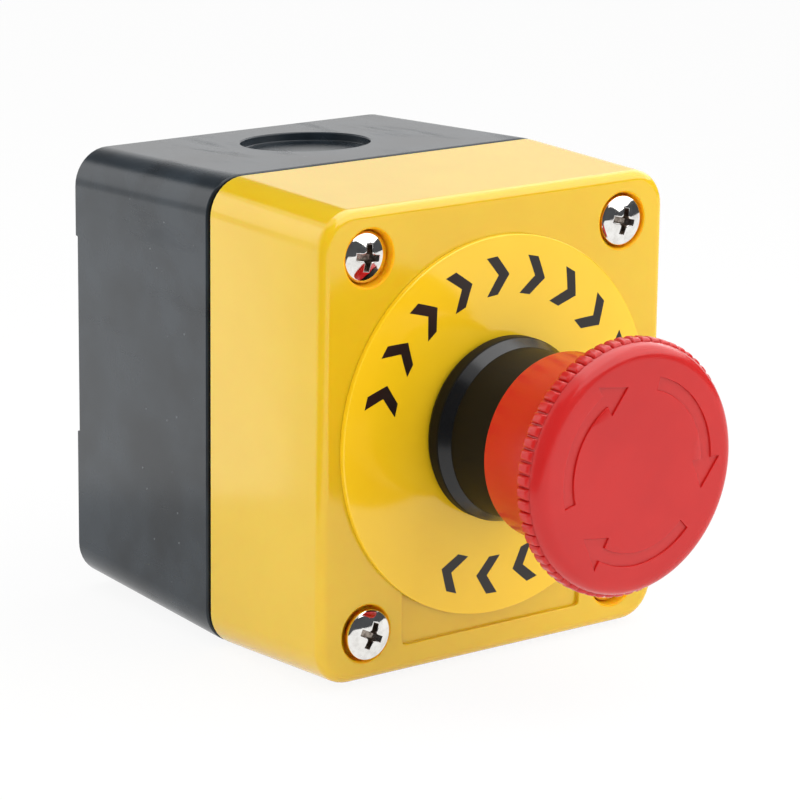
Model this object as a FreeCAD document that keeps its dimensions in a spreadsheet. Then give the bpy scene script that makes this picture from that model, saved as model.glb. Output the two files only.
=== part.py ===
import FreeCAD, Part
import math
import os
import re
import Sketcher

# Enclosed mushroom push button. X is to the right seen from the front, Z is up, and the front faces -Y.
# Depths are measured from the rear mounting face towards the front. All sizes are in millimetres.
sizes = {
    # enclosure outline at the seam, and how far each side draws in to the rear and to the front
    "seam_width": 67.8,
    "seam_height": 75.2,
    "rear_draft_across": 1.2,
    "rear_draft_up": 1.7,
    "front_draft_across": 0.4,
    "front_draft_up": 0.8,
    "corner_radius": 6.0,
    "base_depth": 39.3,
    "seam_gap": 0.8,
    "cover_depth": 28.5,
    "wall": 2.5,
    "edge_round": 1.5,
    # rear face
    "relief_top": 21.8,
    "relief_bottom": 10.8,
    "relief_depth": 0.55,
    "mount_across": 34.0,
    "mount_up": 54.0,
    "mount_hole_radius": 2.25,
    # knock-outs in the top and bottom walls
    "knockout_radius": 10.6,
    "knockout_depth": 1.4,
    "knockout_at": 18.4,
    # seal in the seam
    "seal_inset": 1.0,
    "seal_width": 1.2,
    # cover screws
    "screw_across": 49.5,
    "screw_up": 58.5,
    "screw_radius": 1.95,
    "screw_reach": 13.0,
    "screw_head_radius": 3.95,
    "screw_head_height": 1.9,
    "screw_head_round": 1.2,
    "screw_clearance": 0.05,
    "cover_hole_clearance": 0.3,
    "counterbore_radius": 4.45,
    "counterbore_depth": 2.4,
    "cross_width": 1.0,
    "cross_length": 4.3,
    "cross_depth": 1.2,
    "boss_radius": 4.2,
    "post_radius": 5.0,
    # shallow label panel low on the cover
    "panel_width": 35.6,
    "panel_bottom": 32.5,
    "panel_top": 20.0,
    "panel_depth": 0.7,
    # legend plate
    "plate_radius": 30.0,
    "plate_thickness": 0.9,
    "plate_edge": 0.3,
    # push button operator
    "hole_radius": 11.25,
    "barrel_radius": 10.9,
    "barrel_inside": 16.1,
    "bezel_lip": 0.45,
    "bezel_relief": 0.6,
    "bezel_relief_height": 1.0,
    "bezel_height": 2.8,
    "bezel_slope": 2.1,
    "sleeve_radius": 13.25,
    "sleeve_reach": 24.0,
    "chamber_radius": 8.2,
    "guide_length": 12.0,
    "running_clearance": 0.06,
    "slip_clearance": 0.05,
    "moving_clearance": 0.3,
    # seals of the operator
    "panel_seal_width": 2.1,
    "panel_seal_thickness": 1.2,
    "skirt_seal_at": 18.1,
    "skirt_seal_width": 1.4,
    "skirt_seal_depth": 0.9,
    # fixing of the operator
    "washer_radius": 14.4,
    "washer_thickness": 0.8,
    "nut_flats": 28.0,
    "nut_length": 5.0,
    # mushroom head
    "skirt_back": 15.2,
    "skirt_radius": 14.6,
    "skirt_wall": 1.05,
    "skirt_flare": 0.6,
    "knurl_back": 29.15,
    "knurl_front": 31.5,
    "knurl_radius": 19.75,
    "knurl_teeth": 64,
    "knurl_gap": 0.5,
    "knurl_depth": 0.6,
    "rim_radius": 19.5,
    "rim_draft": 0.7,
    "rim_round": 2.6,
    "neck_round": 2.0,
    "bore_relief": 0.5,
    "head_front": 33.5,
    "head_crown": 3.9,
    "hub_radius": 5.2,
    "hub_length": 11.8,
    # engraved arrows
    "arrow_depth": 0.3,
    "arrow_mean": 13.4,
    "arrow_band": 2.0,
    "arrow_head": 5.4,
    "arrow_tail_angle": 74.5,
    "arrow_tip_angle": 19.7,
    # plunger
    "press_travel": 5.0,
    "stem_radius": 4.0,
    "stem_collar_radius": 6.6,
    "stem_collar": 2.0,
    "stem_collar_at": 15.4,
    "journal_radius": 3.2,
    "journal_length": 10.5,
    "clip_at": 3.0,
    "clip_thickness": 0.8,
    "clip_depth": 0.6,
    "clip_bite": 1.0,
    # twist release
    "cam_wall": 1.75,
    "cam_back": 19.8,
    "cam_front": 29.2,
    "cam_window": 12.4,
    "cam_ring": 0.9,
    "pin_at": 21.9,
    "pin_radius": 1.0,
    "pin_inner": 6.0,
    "pin_outer": 12.2,
    # return spring
    "spring_radius": 5.6,
    "spring_wire": 0.55,
    "spring_turns": 6,
    "spring_seat_gap": 0.1,
    # contact holder
    "holder_width": 30.0,
    "holder_height": 38.0,
    "holder_cup": 8.0,
    "holder_floor": 3.6,
    "holder_overhang": 1.0,
    "holder_screw_radius": 1.0,
    "holder_screw_head": 1.8,
    "holder_screw_head_height": 1.2,
    "holder_screw_reach": 8.0,
    # contact block
    "block_width": 15.0,
    "block_depth": 24.4,
    "block_wall_side": 2.0,
    "block_wall_end": 3.5,
    "block_wall_front": 2.4,
    "block_back": 2.0,
    "shelf_height": 8.0,
    "shelf_back": 2.0,
    "contact_level": 11.0,
    "strip_width": 7.0,
    "strip_thickness": 1.0,
    "strip_inner": 8.0,
    "strip_end_gap": 0.6,
    "tip_radius": 1.8,
    "tip_height": 0.6,
    "tip_at": 10.0,
    "bridge_width": 4.0,
    "bridge_length": 24.0,
    "bridge_thickness": 1.0,
    "terminal_screw_radius": 1.5,
    "terminal_head_radius": 2.8,
    "terminal_head_height": 2.0,
    "terminal_slot": 0.8,
    "terminal_reach": 7.0,
    "clamp_size": 6.4,
    "clamp_thickness": 1.2,
    # contact pusher
    "pusher_radius": 2.5,
    "pusher_neck": 1.5,
    "pusher_pin": 1.8,
    "pusher_gap": 0.1,
    "pusher_margin": 0.3,
    "seat_radius": 3.2,
    "seat_thickness": 1.4,
    "contact_spring_radius": 2.3,
    "contact_spring_wire": 0.3,
    "contact_spring_turns": 4,
}

doc = FreeCAD.newDocument("EmergencyStop")
sheet = doc.addObject("Spreadsheet::Sheet", "Sizes")
for row, (alias, value) in enumerate(sizes.items(), start=1):
    sheet.set("A%d" % row, alias)
    sheet.set("B%d" % row, str(value))
    sheet.setAlias("B%d" % row, alias)
doc.recompute()

# outlines of the enclosure, and depths of the main faces from the rear, as formulas of the sheet
seam_outline = ("seam_width", "seam_height")
rear_outline = ("(seam_width - 2 * rear_draft_across)", "(seam_height - 2 * rear_draft_up)")
front_outline = ("(seam_width - 2 * front_draft_across)", "(seam_height - 2 * front_draft_up)")
cover_rear = "(base_depth + seam_gap)"
face = "(base_depth + seam_gap + cover_depth)"
inner_face = "(base_depth + seam_gap + cover_depth - wall)"
plate_front = "(%s + plate_thickness)" % face
bezel_front = "(%s + bezel_height)" % plate_front
sleeve_back = "(%s + bezel_slope)" % bezel_front
sleeve_front = "(%s + sleeve_reach)" % face
barrel_end = "(%s - barrel_inside)" % inner_face
chamber_back = "(%s + guide_length)" % barrel_end
washer_back = "(%s - washer_thickness)" % inner_face
nut_back = "(%s - nut_length)" % washer_back
holder_front = "(%s + holder_cup)" % barrel_end
holder_back = "(%s - holder_floor)" % barrel_end
block_rear = "(%s - block_depth)" % holder_back
block_height = "(holder_height - 2 * holder_overhang)"
holder_screw_up = "((%s - block_wall_end) / 2)" % block_height
terminal_up = "((%s + shelf_height) / 2)" % block_height
strip_outer = "(%s / 2 + shelf_height - strip_end_gap)" % block_height
cover_back = "(%s - block_back)" % block_rear
strip_back = "(%s + contact_level)" % block_rear
strip_front = "(%s + strip_thickness)" % strip_back
tips_meet = "(%s - tip_height)" % strip_back
bridge_front = "(%s - tip_height)" % tips_meet
bridge_back = "(%s - bridge_thickness)" % bridge_front
seat_back = "(%s - seat_thickness)" % bridge_back
pusher_front = "(%s + press_travel + pusher_margin)" % holder_back
stem_rear = "(%s + pusher_gap)" % pusher_front
collar_back = "(%s + stem_collar_at)" % face
collar_front = "(%s + stem_collar)" % collar_back
head_top = "(%s + head_front)" % face
crown_back = "(%s - head_crown)" % head_top
hub_back = "(%s - hub_length)" % crown_back


# writing and drawing helpers
def bound(text):
    def cell(match):
        word = match.group(0)
        return "Sizes." + word if word in sizes else word
    return re.sub(r"[a-z][a-z_0-9]*", cell, text)


def link(item, field, text):
    item.setExpression(field, bound(text))


def new_body(label):
    body = doc.addObject("PartDesign::Body", label)
    body.Label = label
    return body


def origin_item(body, role):
    return next(item for item in body.Origin.OriginFeatures if item.Role == role)


def new_sketch(body, name, role, depth=None, flip=False):
    sketch = body.newObject("Sketcher::SketchObject", name)
    sketch.AttachmentSupport = [(origin_item(body, role), "")]
    sketch.MapMode = "FlatFace"
    if flip:
        half_turn = FreeCAD.Rotation(FreeCAD.Vector(1, 0, 0), 180)
        sketch.AttachmentOffset = FreeCAD.Placement(FreeCAD.Vector(), half_turn)
    if depth is not None:
        link(sketch, "AttachmentOffset.Base.z", depth)
    return sketch


def drive(sketch, constraint, text):
    index = sketch.addConstraint(constraint)
    link(sketch, "Constraints[%d]" % index, text)


def place_point(sketch, geometry, end, across, up):
    # puts one point at the two formulas, across and up from the sketch's origin
    point = sketch.getPoint(geometry, end)
    if across == "0":
        sketch.addConstraint(Sketcher.Constraint("PointOnObject", geometry, end, -2))
    else:
        drive(sketch, Sketcher.Constraint("DistanceX", -1, 1, geometry, end, point.x), across)
    if up == "0":
        sketch.addConstraint(Sketcher.Constraint("PointOnObject", geometry, end, -1))
    else:
        drive(sketch, Sketcher.Constraint("DistanceY", -1, 1, geometry, end, point.y), up)


def draw_outline(sketch, corners):
    # closed outline of straight lines through the corners
    count = len(corners)
    turns = [2 * math.pi * k / count for k in range(count)]
    start = FreeCAD.Vector(sizes["seam_width"] / 2, sizes["base_depth"], 0)
    spread = sizes["corner_radius"]
    ring = [start + FreeCAD.Vector(spread * math.cos(a), spread * math.sin(a), 0) for a in turns]
    first = sketch.GeometryCount
    for k in range(count):
        sketch.addGeometry(Part.LineSegment(ring[k], ring[(k + 1) % count]))
    for k in range(count):
        sketch.addConstraint(Sketcher.Constraint("Coincident", first + k, 2, first + (k + 1) % count, 1))
    for k, (across, up) in enumerate(corners):
        place_point(sketch, first + k, 1, across, up)


def draw_rectangle(sketch, left, right, bottom, top):
    draw_outline(sketch, [(left, bottom), (right, bottom), (right, top), (left, top)])


def draw_centred(sketch, width, height):
    draw_rectangle(sketch, "-%s / 2" % width, "%s / 2" % width, "-%s / 2" % height, "%s / 2" % height)


def draw_rounded(sketch, width, height, radius):
    # centred rectangle with round corners: top, right, bottom and left lines, then the corners' arcs
    first = sketch.GeometryCount
    turn = sizes["corner_radius"]
    side = sizes["seam_width"] / 2
    core = side - turn
    path = [((-core, side), (core, side)), ((side, core), (side, -core)),
            ((core, -side), (-core, -side)), ((-side, -core), (-side, core))]
    for start, end in path:
        sketch.addGeometry(Part.LineSegment(FreeCAD.Vector(*start, 0), FreeCAD.Vector(*end, 0)))
    for k, (x, y) in enumerate([(core, core), (core, -core), (-core, -core), (-core, core)]):
        circle = Part.Circle(FreeCAD.Vector(x, y, 0), FreeCAD.Vector(0, 0, 1), turn)
        quarter = math.pi / 2
        sketch.addGeometry(Part.ArcOfCircle(circle, -k * quarter, (1 - k) * quarter))
    for k in range(4):
        sketch.addConstraint(Sketcher.Constraint("Tangent", first + k, 2, first + 4 + k, 2))
        sketch.addConstraint(Sketcher.Constraint("Tangent", first + (k + 1) % 4, 1, first + 4 + k, 1))
        sketch.addConstraint(Sketcher.Constraint("Vertical" if k % 2 else "Horizontal", first + k))
    for k in range(1, 4):
        sketch.addConstraint(Sketcher.Constraint("Equal", first + 4, first + 4 + k))
    drive(sketch, Sketcher.Constraint("Radius", first + 4, turn), radius)
    drive(sketch, Sketcher.Constraint("DistanceX", -1, 1, first + 1, 1, side), "%s / 2" % width)
    drive(sketch, Sketcher.Constraint("DistanceX", -1, 1, first + 3, 1, -side), "-%s / 2" % width)
    drive(sketch, Sketcher.Constraint("DistanceY", -1, 1, first, 1, side), "%s / 2" % height)
    drive(sketch, Sketcher.Constraint("DistanceY", -1, 1, first + 2, 1, -side), "-%s / 2" % height)


def draw_circle(sketch, radius, across="0", up="0"):
    start = sizes["corner_radius"]
    index = sketch.addGeometry(Part.Circle(FreeCAD.Vector(start, start, 0), FreeCAD.Vector(0, 0, 1), start))
    place_point(sketch, index, 3, across, up)
    drive(sketch, Sketcher.Constraint("Radius", index, start), radius)


def draw_four(sketch, radius, across, up):
    for side in ("-", ""):
        for level in ("-", ""):
            draw_circle(sketch, radius, "%s%s / 2" % (side, across), "%s%s / 2" % (level, up))


def pad(body, name, sketch, length):
    feature = body.newObject("PartDesign::Pad", name)
    feature.Profile = sketch
    link(feature, "Length", length)
    return feature


def pocket(body, name, sketch, length, forwards=False):
    # cuts from the sketch towards the rear, or forwards
    feature = body.newObject("PartDesign::Pocket", name)
    feature.Profile = sketch
    link(feature, "Length", length)
    feature.Reversed = forwards
    return feature


def block(body, name, depth, length, width, height):
    # rectangular block from one depth forwards
    sketch = new_sketch(body, name + "Outline", "XZ_Plane", depth)
    draw_centred(sketch, width, height)
    return pad(body, name, sketch, length)


def turned(label, corners):
    # solid of revolution about the button's axis, from corners given as radius and depth
    body = new_body(label)
    sketch = new_sketch(body, label + "Profile", "XY_Plane", flip=True)
    draw_outline(sketch, corners)
    feature = body.newObject("PartDesign::Revolution", label + "Turn")
    feature.Profile = sketch
    feature.ReferenceAxis = (sketch, ["V_Axis"])
    feature.Angle = 360
    return body


def ring(label, inner, outer, back, front):
    return turned(label, [(inner, back), (outer, back), (outer, front), (inner, front)])


def names_of(shape_list, kind, wanted):
    return [kind + str(k) for k, item in enumerate(shape_list, start=1) if wanted(item)]


def dress(body, kind, name, base, names, field, size):
    # rounds or bevels the named edges of a feature
    feature = body.newObject("PartDesign::" + kind, name)
    feature.Base = (base, names)
    link(feature, field, size)
    return feature


def depth_span(item):
    depths = [-vertex.Y for vertex in item.Vertexes]
    return min(depths), max(depths)


def runs_through(edge):
    low, high = depth_span(edge)
    return high - low > 0.5


def lies_at_front(feature):
    front = depth_span(feature.Shape)[1]
    return lambda edge: depth_span(edge)[0] > front - 0.01


def mirrored_pair(label, source, normal):
    twin = doc.addObject("Part::Mirroring", label + "Mirror")
    twin.Source = source
    twin.Normal = normal
    pair = doc.addObject("Part::Compound", label)
    pair.Links = [source, twin]
    pair.Label = label
    return pair


def coil(label, radius, wire, turns, back, front):
    # round wire wound between two seats, on the button's axis
    body = new_body(label)
    sketch = new_sketch(body, label + "Wire", "XY_Plane", flip=True)
    draw_circle(sketch, wire, radius, "%s + spring_seat_gap + %s" % (back, wire))
    feature = body.newObject("PartDesign::AdditiveHelix", label + "Coil")
    feature.Profile = sketch
    feature.ReferenceAxis = (sketch, ["V_Axis"])
    feature.Mode = "height-turns-angle"
    link(feature, "Height", "%s - %s - 2 * (spring_seat_gap + %s)" % (front, back, wire))
    link(feature, "Turns", turns)
    return body


sideways = FreeCAD.Vector(1, 0, 0)
upward = FreeCAD.Vector(0, 0, 1)


# tapered shell, lofted between two rectangles and hollowed by a smaller loft of the same taper
def loft_between(body, kind, name, back, back_size, front, front_size):
    rear = new_sketch(body, name + "Rear", "XZ_Plane", back)
    draw_centred(rear, *back_size)
    fore = new_sketch(body, name + "Fore", "XZ_Plane", front)
    draw_centred(fore, *front_size)
    loft = body.newObject("PartDesign::" + kind, name)
    loft.Profile = rear
    loft.Sections = [fore]
    loft.Ruled = True
    doc.recompute()
    return loft


def tapered_shell(label, back, back_size, front, front_size, hollow_back, hollow_front):
    body = new_body(label)
    loft = loft_between(body, "AdditiveLoft", label + "Taper", back, back_size, front, front_size)
    corners = names_of(loft.Shape.Edges, "Edge", runs_through)
    outside = dress(body, "Fillet", label + "Corners", loft, corners, "Radius", "corner_radius")
    doc.recompute()
    taken = [edge.CenterOfMass for edge in outside.Shape.Edges]

    def inner_size(depth):
        share = "(%s - %s) / (%s - %s)" % (depth, back, front, back)
        return ["(%s + (%s - %s) * %s - 2 * wall)" % (rear, fore, rear, share)
                for rear, fore in zip(back_size, front_size)]

    hollow = loft_between(body, "SubtractiveLoft", label + "Hollow",
                          hollow_back, inner_size(hollow_back), hollow_front, inner_size(hollow_front))

    def inner_corner(edge):
        return runs_through(edge) and min(edge.CenterOfMass.distanceToPoint(point) for point in taken) > 0.5

    inner_edges = names_of(hollow.Shape.Edges, "Edge", inner_corner)
    inside = dress(body, "Fillet", label + "InnerCorners", hollow, inner_edges,
                   "Radius", "corner_radius - wall")
    doc.recompute()
    return body, inside


# rear box: shell, screw bosses, rear relief, mounting holes and knock-outs
rear_box, rear_shell = tapered_shell("rear_box", "0", rear_outline, "base_depth", seam_outline,
                                     "wall", "base_depth")
bosses = new_sketch(rear_box, "Bosses", "XZ_Plane", "wall / 2")
draw_four(bosses, "boss_radius", "screw_across", "screw_up")
pad(rear_box, "BossPad", bosses, "base_depth - wall / 2")
pilots = new_sketch(rear_box, "Pilots", "XZ_Plane", "base_depth")
draw_four(pilots, "screw_radius + screw_clearance", "screw_across", "screw_up")
pocket(rear_box, "PilotHoles", pilots, "screw_reach + wall")
relief = new_sketch(rear_box, "Relief", "XZ_Plane", "0")
draw_rectangle(relief, "-seam_width", "seam_width", "-relief_bottom", "relief_top")
pocket(rear_box, "RearRelief", relief, "relief_depth", forwards=True)
mount_holes = new_sketch(rear_box, "MountHoles", "XZ_Plane", "2 * wall")
draw_four(mount_holes, "mount_hole_radius", "mount_across", "mount_up")
pocket(rear_box, "MountPocket", mount_holes, "3 * wall")
wall_rise = "(rear_draft_up / base_depth)"
knockout = new_sketch(rear_box, "Knockout", "XY_Plane")
knockout.AttachmentOffset = FreeCAD.Placement(FreeCAD.Vector(), FreeCAD.Rotation(sideways, -1))
link(knockout, "AttachmentOffset.Base.y", "-knockout_at")
link(knockout, "AttachmentOffset.Base.z", "%s / 2 + knockout_at * %s" % (rear_outline[1], wall_rise))
link(knockout, "AttachmentOffset.Rotation.Angle", "-atan(%s)" % wall_rise)
draw_circle(knockout, "knockout_radius")
top_recess = pocket(rear_box, "TopKnockout", knockout, "knockout_depth")
both_recesses = rear_box.newObject("PartDesign::Mirrored", "BothKnockouts")
both_recesses.Originals = [top_recess]
both_recesses.MirrorPlane = (origin_item(rear_box, "XY_Plane"), [""])
rear_box.Tip = both_recesses
doc.recompute()


# front cover: shell, screw posts and holes, operator hole and label panel
front_cover, cover_shell = tapered_shell("front_cover", cover_rear, seam_outline, face, front_outline,
                                         cover_rear, inner_face)
front_edges = names_of(cover_shell.Shape.Edges, "Edge", lies_at_front(cover_shell))
dress(front_cover, "Fillet", "FrontRound", cover_shell, front_edges, "Radius", "edge_round")
posts = new_sketch(front_cover, "Posts", "XZ_Plane", cover_rear)
draw_four(posts, "post_radius", "screw_across", "screw_up")
pad(front_cover, "PostPad", posts, "cover_depth - wall / 2")
counterbores = new_sketch(front_cover, "Counterbores", "XZ_Plane", face)
draw_four(counterbores, "counterbore_radius", "screw_across", "screw_up")
pocket(front_cover, "CounterborePocket", counterbores, "counterbore_depth")
screw_holes = new_sketch(front_cover, "ScrewHoles", "XZ_Plane", face)
draw_four(screw_holes, "screw_radius + cover_hole_clearance", "screw_across", "screw_up")
pocket(front_cover, "ScrewHolePocket", screw_holes, "cover_depth + wall")
panel = new_sketch(front_cover, "LabelPanel", "XZ_Plane", face)
draw_rectangle(panel, "-panel_width / 2", "panel_width / 2", "-panel_bottom", "-panel_top")
pocket(front_cover, "PanelPocket", panel, "panel_depth")
operator_hole = new_sketch(front_cover, "OperatorHole", "XZ_Plane", face)
draw_circle(operator_hole, "hole_radius")
pocket(front_cover, "OperatorPocket", operator_hole, "2 * wall")

# seal between the rear box and the cover
cover_seal = new_body("cover_seal")
seal_lines = new_sketch(cover_seal, "SealOutline", "XZ_Plane", "base_depth")
for inset in ("seal_inset", "(seal_inset + seal_width)"):
    draw_rounded(seal_lines, "(seam_width - 2 * %s)" % inset, "(seam_height - 2 * %s)" % inset,
                 "corner_radius - %s" % inset)
pad(cover_seal, "SealPad", seal_lines, "seam_gap")

# cover screws with rounded pan heads and crossed recesses
screw_seat = "(%s - counterbore_depth)" % face
screw_top = "(%s + screw_head_height)" % screw_seat
screw_tip = "(base_depth - screw_reach)"
cover_screw = turned("cover_screw", [("0", screw_tip), ("screw_radius", screw_tip),
                                     ("screw_radius", screw_seat), ("screw_head_radius", screw_seat),
                                     ("screw_head_radius", screw_top), ("0", screw_top)])
doc.recompute()
head_edge = names_of(cover_screw.Tip.Shape.Edges, "Edge", lies_at_front(cover_screw.Tip))
dress(cover_screw, "Fillet", "ScrewHeadRound", cover_screw.Tip, head_edge, "Radius", "screw_head_round")
cross_arms = {"CrossFlat": ("cross_length", "cross_width"), "CrossTall": ("cross_width", "cross_length")}
for name, arm in cross_arms.items():
    slot = new_sketch(cover_screw, name, "XZ_Plane", screw_top)
    draw_centred(slot, *arm)
    pocket(cover_screw, name + "Cut", slot, "cross_depth")
link(cover_screw, "Placement.Base.x", "screw_across / 2")
link(cover_screw, "Placement.Base.z", "screw_up / 2")
screw_pair = mirrored_pair("cover_screw_pair", cover_screw, sideways)
cover_screws = mirrored_pair("cover_screws", screw_pair, upward)

# legend plate on the cover's face
legend_plate = ring("legend_plate", "hole_radius", "plate_radius", face, plate_front)
doc.recompute()
plate_edges = names_of(legend_plate.Tip.Shape.Edges, "Edge", lies_at_front(legend_plate.Tip))
dress(legend_plate, "Chamfer", "PlateEdge", legend_plate.Tip, plate_edges, "Size", "plate_edge")

# operator body: threaded barrel, bezel and the black sleeve under the head
seal_bore = "(hole_radius + slip_clearance + panel_seal_width + slip_clearance)"
seal_top = "(%s + panel_seal_thickness)" % plate_front
bezel_foot = "(%s + bezel_lip)" % seal_bore
bezel_radius = "(%s + bezel_relief)" % bezel_foot
bezel_back = "(%s + bezel_relief_height)" % plate_front
groove_back = "(%s + skirt_seal_at - skirt_seal_width / 2)" % face
groove_front = "(%s + skirt_seal_at + skirt_seal_width / 2)" % face
groove_floor = "(sleeve_radius - skirt_seal_depth)"
guide_radius = "(stem_radius + running_clearance)"
operator_body = turned("operator_body", [(guide_radius, barrel_end), ("barrel_radius", barrel_end),
                                         ("barrel_radius", seal_top), (seal_bore, seal_top),
                                         (seal_bore, plate_front), (bezel_foot, plate_front),
                                         (bezel_radius, bezel_back), (bezel_radius, bezel_front),
                                         ("sleeve_radius", sleeve_back),
                                         ("sleeve_radius", groove_back), (groove_floor, groove_back),
                                         (groove_floor, groove_front), ("sleeve_radius", groove_front),
                                         ("sleeve_radius", sleeve_front), ("chamber_radius", sleeve_front),
                                         ("chamber_radius", chamber_back), (guide_radius, chamber_back)])
pin_holes = new_sketch(operator_body, "PinHoles", "YZ_Plane")
draw_circle(pin_holes, "pin_radius + slip_clearance", "-(%s + pin_at)" % face, "0")
pin_cut = pocket(operator_body, "PinHoleCut", pin_holes, "4 * sleeve_radius")
pin_cut.Midplane = True

# seals, washer and nut of the operator
panel_seal = ring("panel_seal", "hole_radius + slip_clearance",
                  "hole_radius + slip_clearance + panel_seal_width", plate_front, seal_top)
skirt_inner = "(skirt_radius - skirt_wall)"
skirt_seal = ring("skirt_seal", groove_floor + " + slip_clearance", skirt_inner + " - running_clearance",
                  groove_back + " + slip_clearance", groove_front + " - slip_clearance")
lock_washer = ring("lock_washer", "barrel_radius + slip_clearance", "washer_radius",
                   washer_back, inner_face)
lock_nut = new_body("lock_nut")
nut_sketch = new_sketch(lock_nut, "NutOutline", "XZ_Plane", nut_back)
nut_corner = "nut_flats / 2 / cos(30)"
draw_outline(nut_sketch, [("0", "-%s" % nut_corner), ("nut_flats / 2", "-%s / 2" % nut_corner),
                          ("nut_flats / 2", "%s / 2" % nut_corner), ("0", nut_corner),
                          ("-nut_flats / 2", "%s / 2" % nut_corner),
                          ("-nut_flats / 2", "-%s / 2" % nut_corner)])
draw_circle(nut_sketch, "barrel_radius + slip_clearance")
pad(lock_nut, "NutPad", nut_sketch, "nut_length")
doc.recompute()

# mushroom head: skirt, rim, hub, knurl and engraved arrows
skirt_end = "(%s + skirt_back)" % face
rim_back = "(%s + knurl_back)" % face
rim_front = "(%s + knurl_front)" % face
bore_radius = "(journal_radius + running_clearance)"
bore_end = "(%s + journal_length + bore_relief)" % collar_front
clip_back = "(%s + clip_at)" % collar_front
clip_front = "(%s + clip_thickness)" % clip_back
clip_groove = "(journal_radius + clip_bite + moving_clearance)"
mushroom_head = turned("mushroom_head", [(skirt_inner, skirt_end), ("skirt_radius", skirt_end),
                                         ("(skirt_radius + skirt_flare)", rim_back),
                                         ("knurl_radius", rim_back),
                                         ("knurl_radius", rim_front), ("rim_radius", rim_front),
                                         ("(rim_radius - rim_draft)", head_top), ("0", head_top),
                                         ("0", bore_end), (bore_radius, bore_end),
                                         (bore_radius, clip_front + " + slip_clearance"),
                                         (clip_groove, clip_front + " + slip_clearance"),
                                         (clip_groove, clip_back + " - slip_clearance"),
                                         (bore_radius, clip_back + " - slip_clearance"),
                                         (bore_radius, hub_back), ("hub_radius", hub_back),
                                         ("hub_radius", crown_back), (skirt_inner, crown_back)])
doc.recompute()
head_turn = mushroom_head.Tip
rim_edge = names_of(head_turn.Shape.Edges, "Edge", lies_at_front(head_turn))
rim_round = dress(mushroom_head, "Fillet", "RimRound", head_turn, rim_edge, "Radius", "rim_round")
doc.recompute()
rim_depth = depth_span(head_turn.Shape)[1] - sizes["head_front"] + sizes["knurl_back"]


def under_rim(edge):
    low, high = depth_span(edge)
    level = abs(low - rim_depth) < 0.01 and abs(high - rim_depth) < 0.01
    return level and edge.isClosed() and edge.Curve.Radius < sizes["knurl_radius"] - 1


neck_edge = names_of(rim_round.Shape.Edges, "Edge", under_rim)
dress(mushroom_head, "Fillet", "NeckRound", rim_round, neck_edge, "Radius", "neck_round")
knurl = new_sketch(mushroom_head, "KnurlGap", "XZ_Plane", rim_front)
draw_rectangle(knurl, "-knurl_gap / 2", "knurl_gap / 2",
               "knurl_radius - knurl_depth", "knurl_radius + knurl_depth")
knurl_cut = pocket(mushroom_head, "KnurlCut", knurl, "%s - %s" % (rim_front, rim_back))
knurl_ring = mushroom_head.newObject("PartDesign::PolarPattern", "KnurlRing")
knurl_ring.Originals = [knurl_cut]
knurl_ring.Axis = (knurl, ["N_Axis"])
knurl_ring.Angle = 360
link(knurl_ring, "Occurrences", "knurl_teeth")
mushroom_head.Tip = knurl_ring


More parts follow.
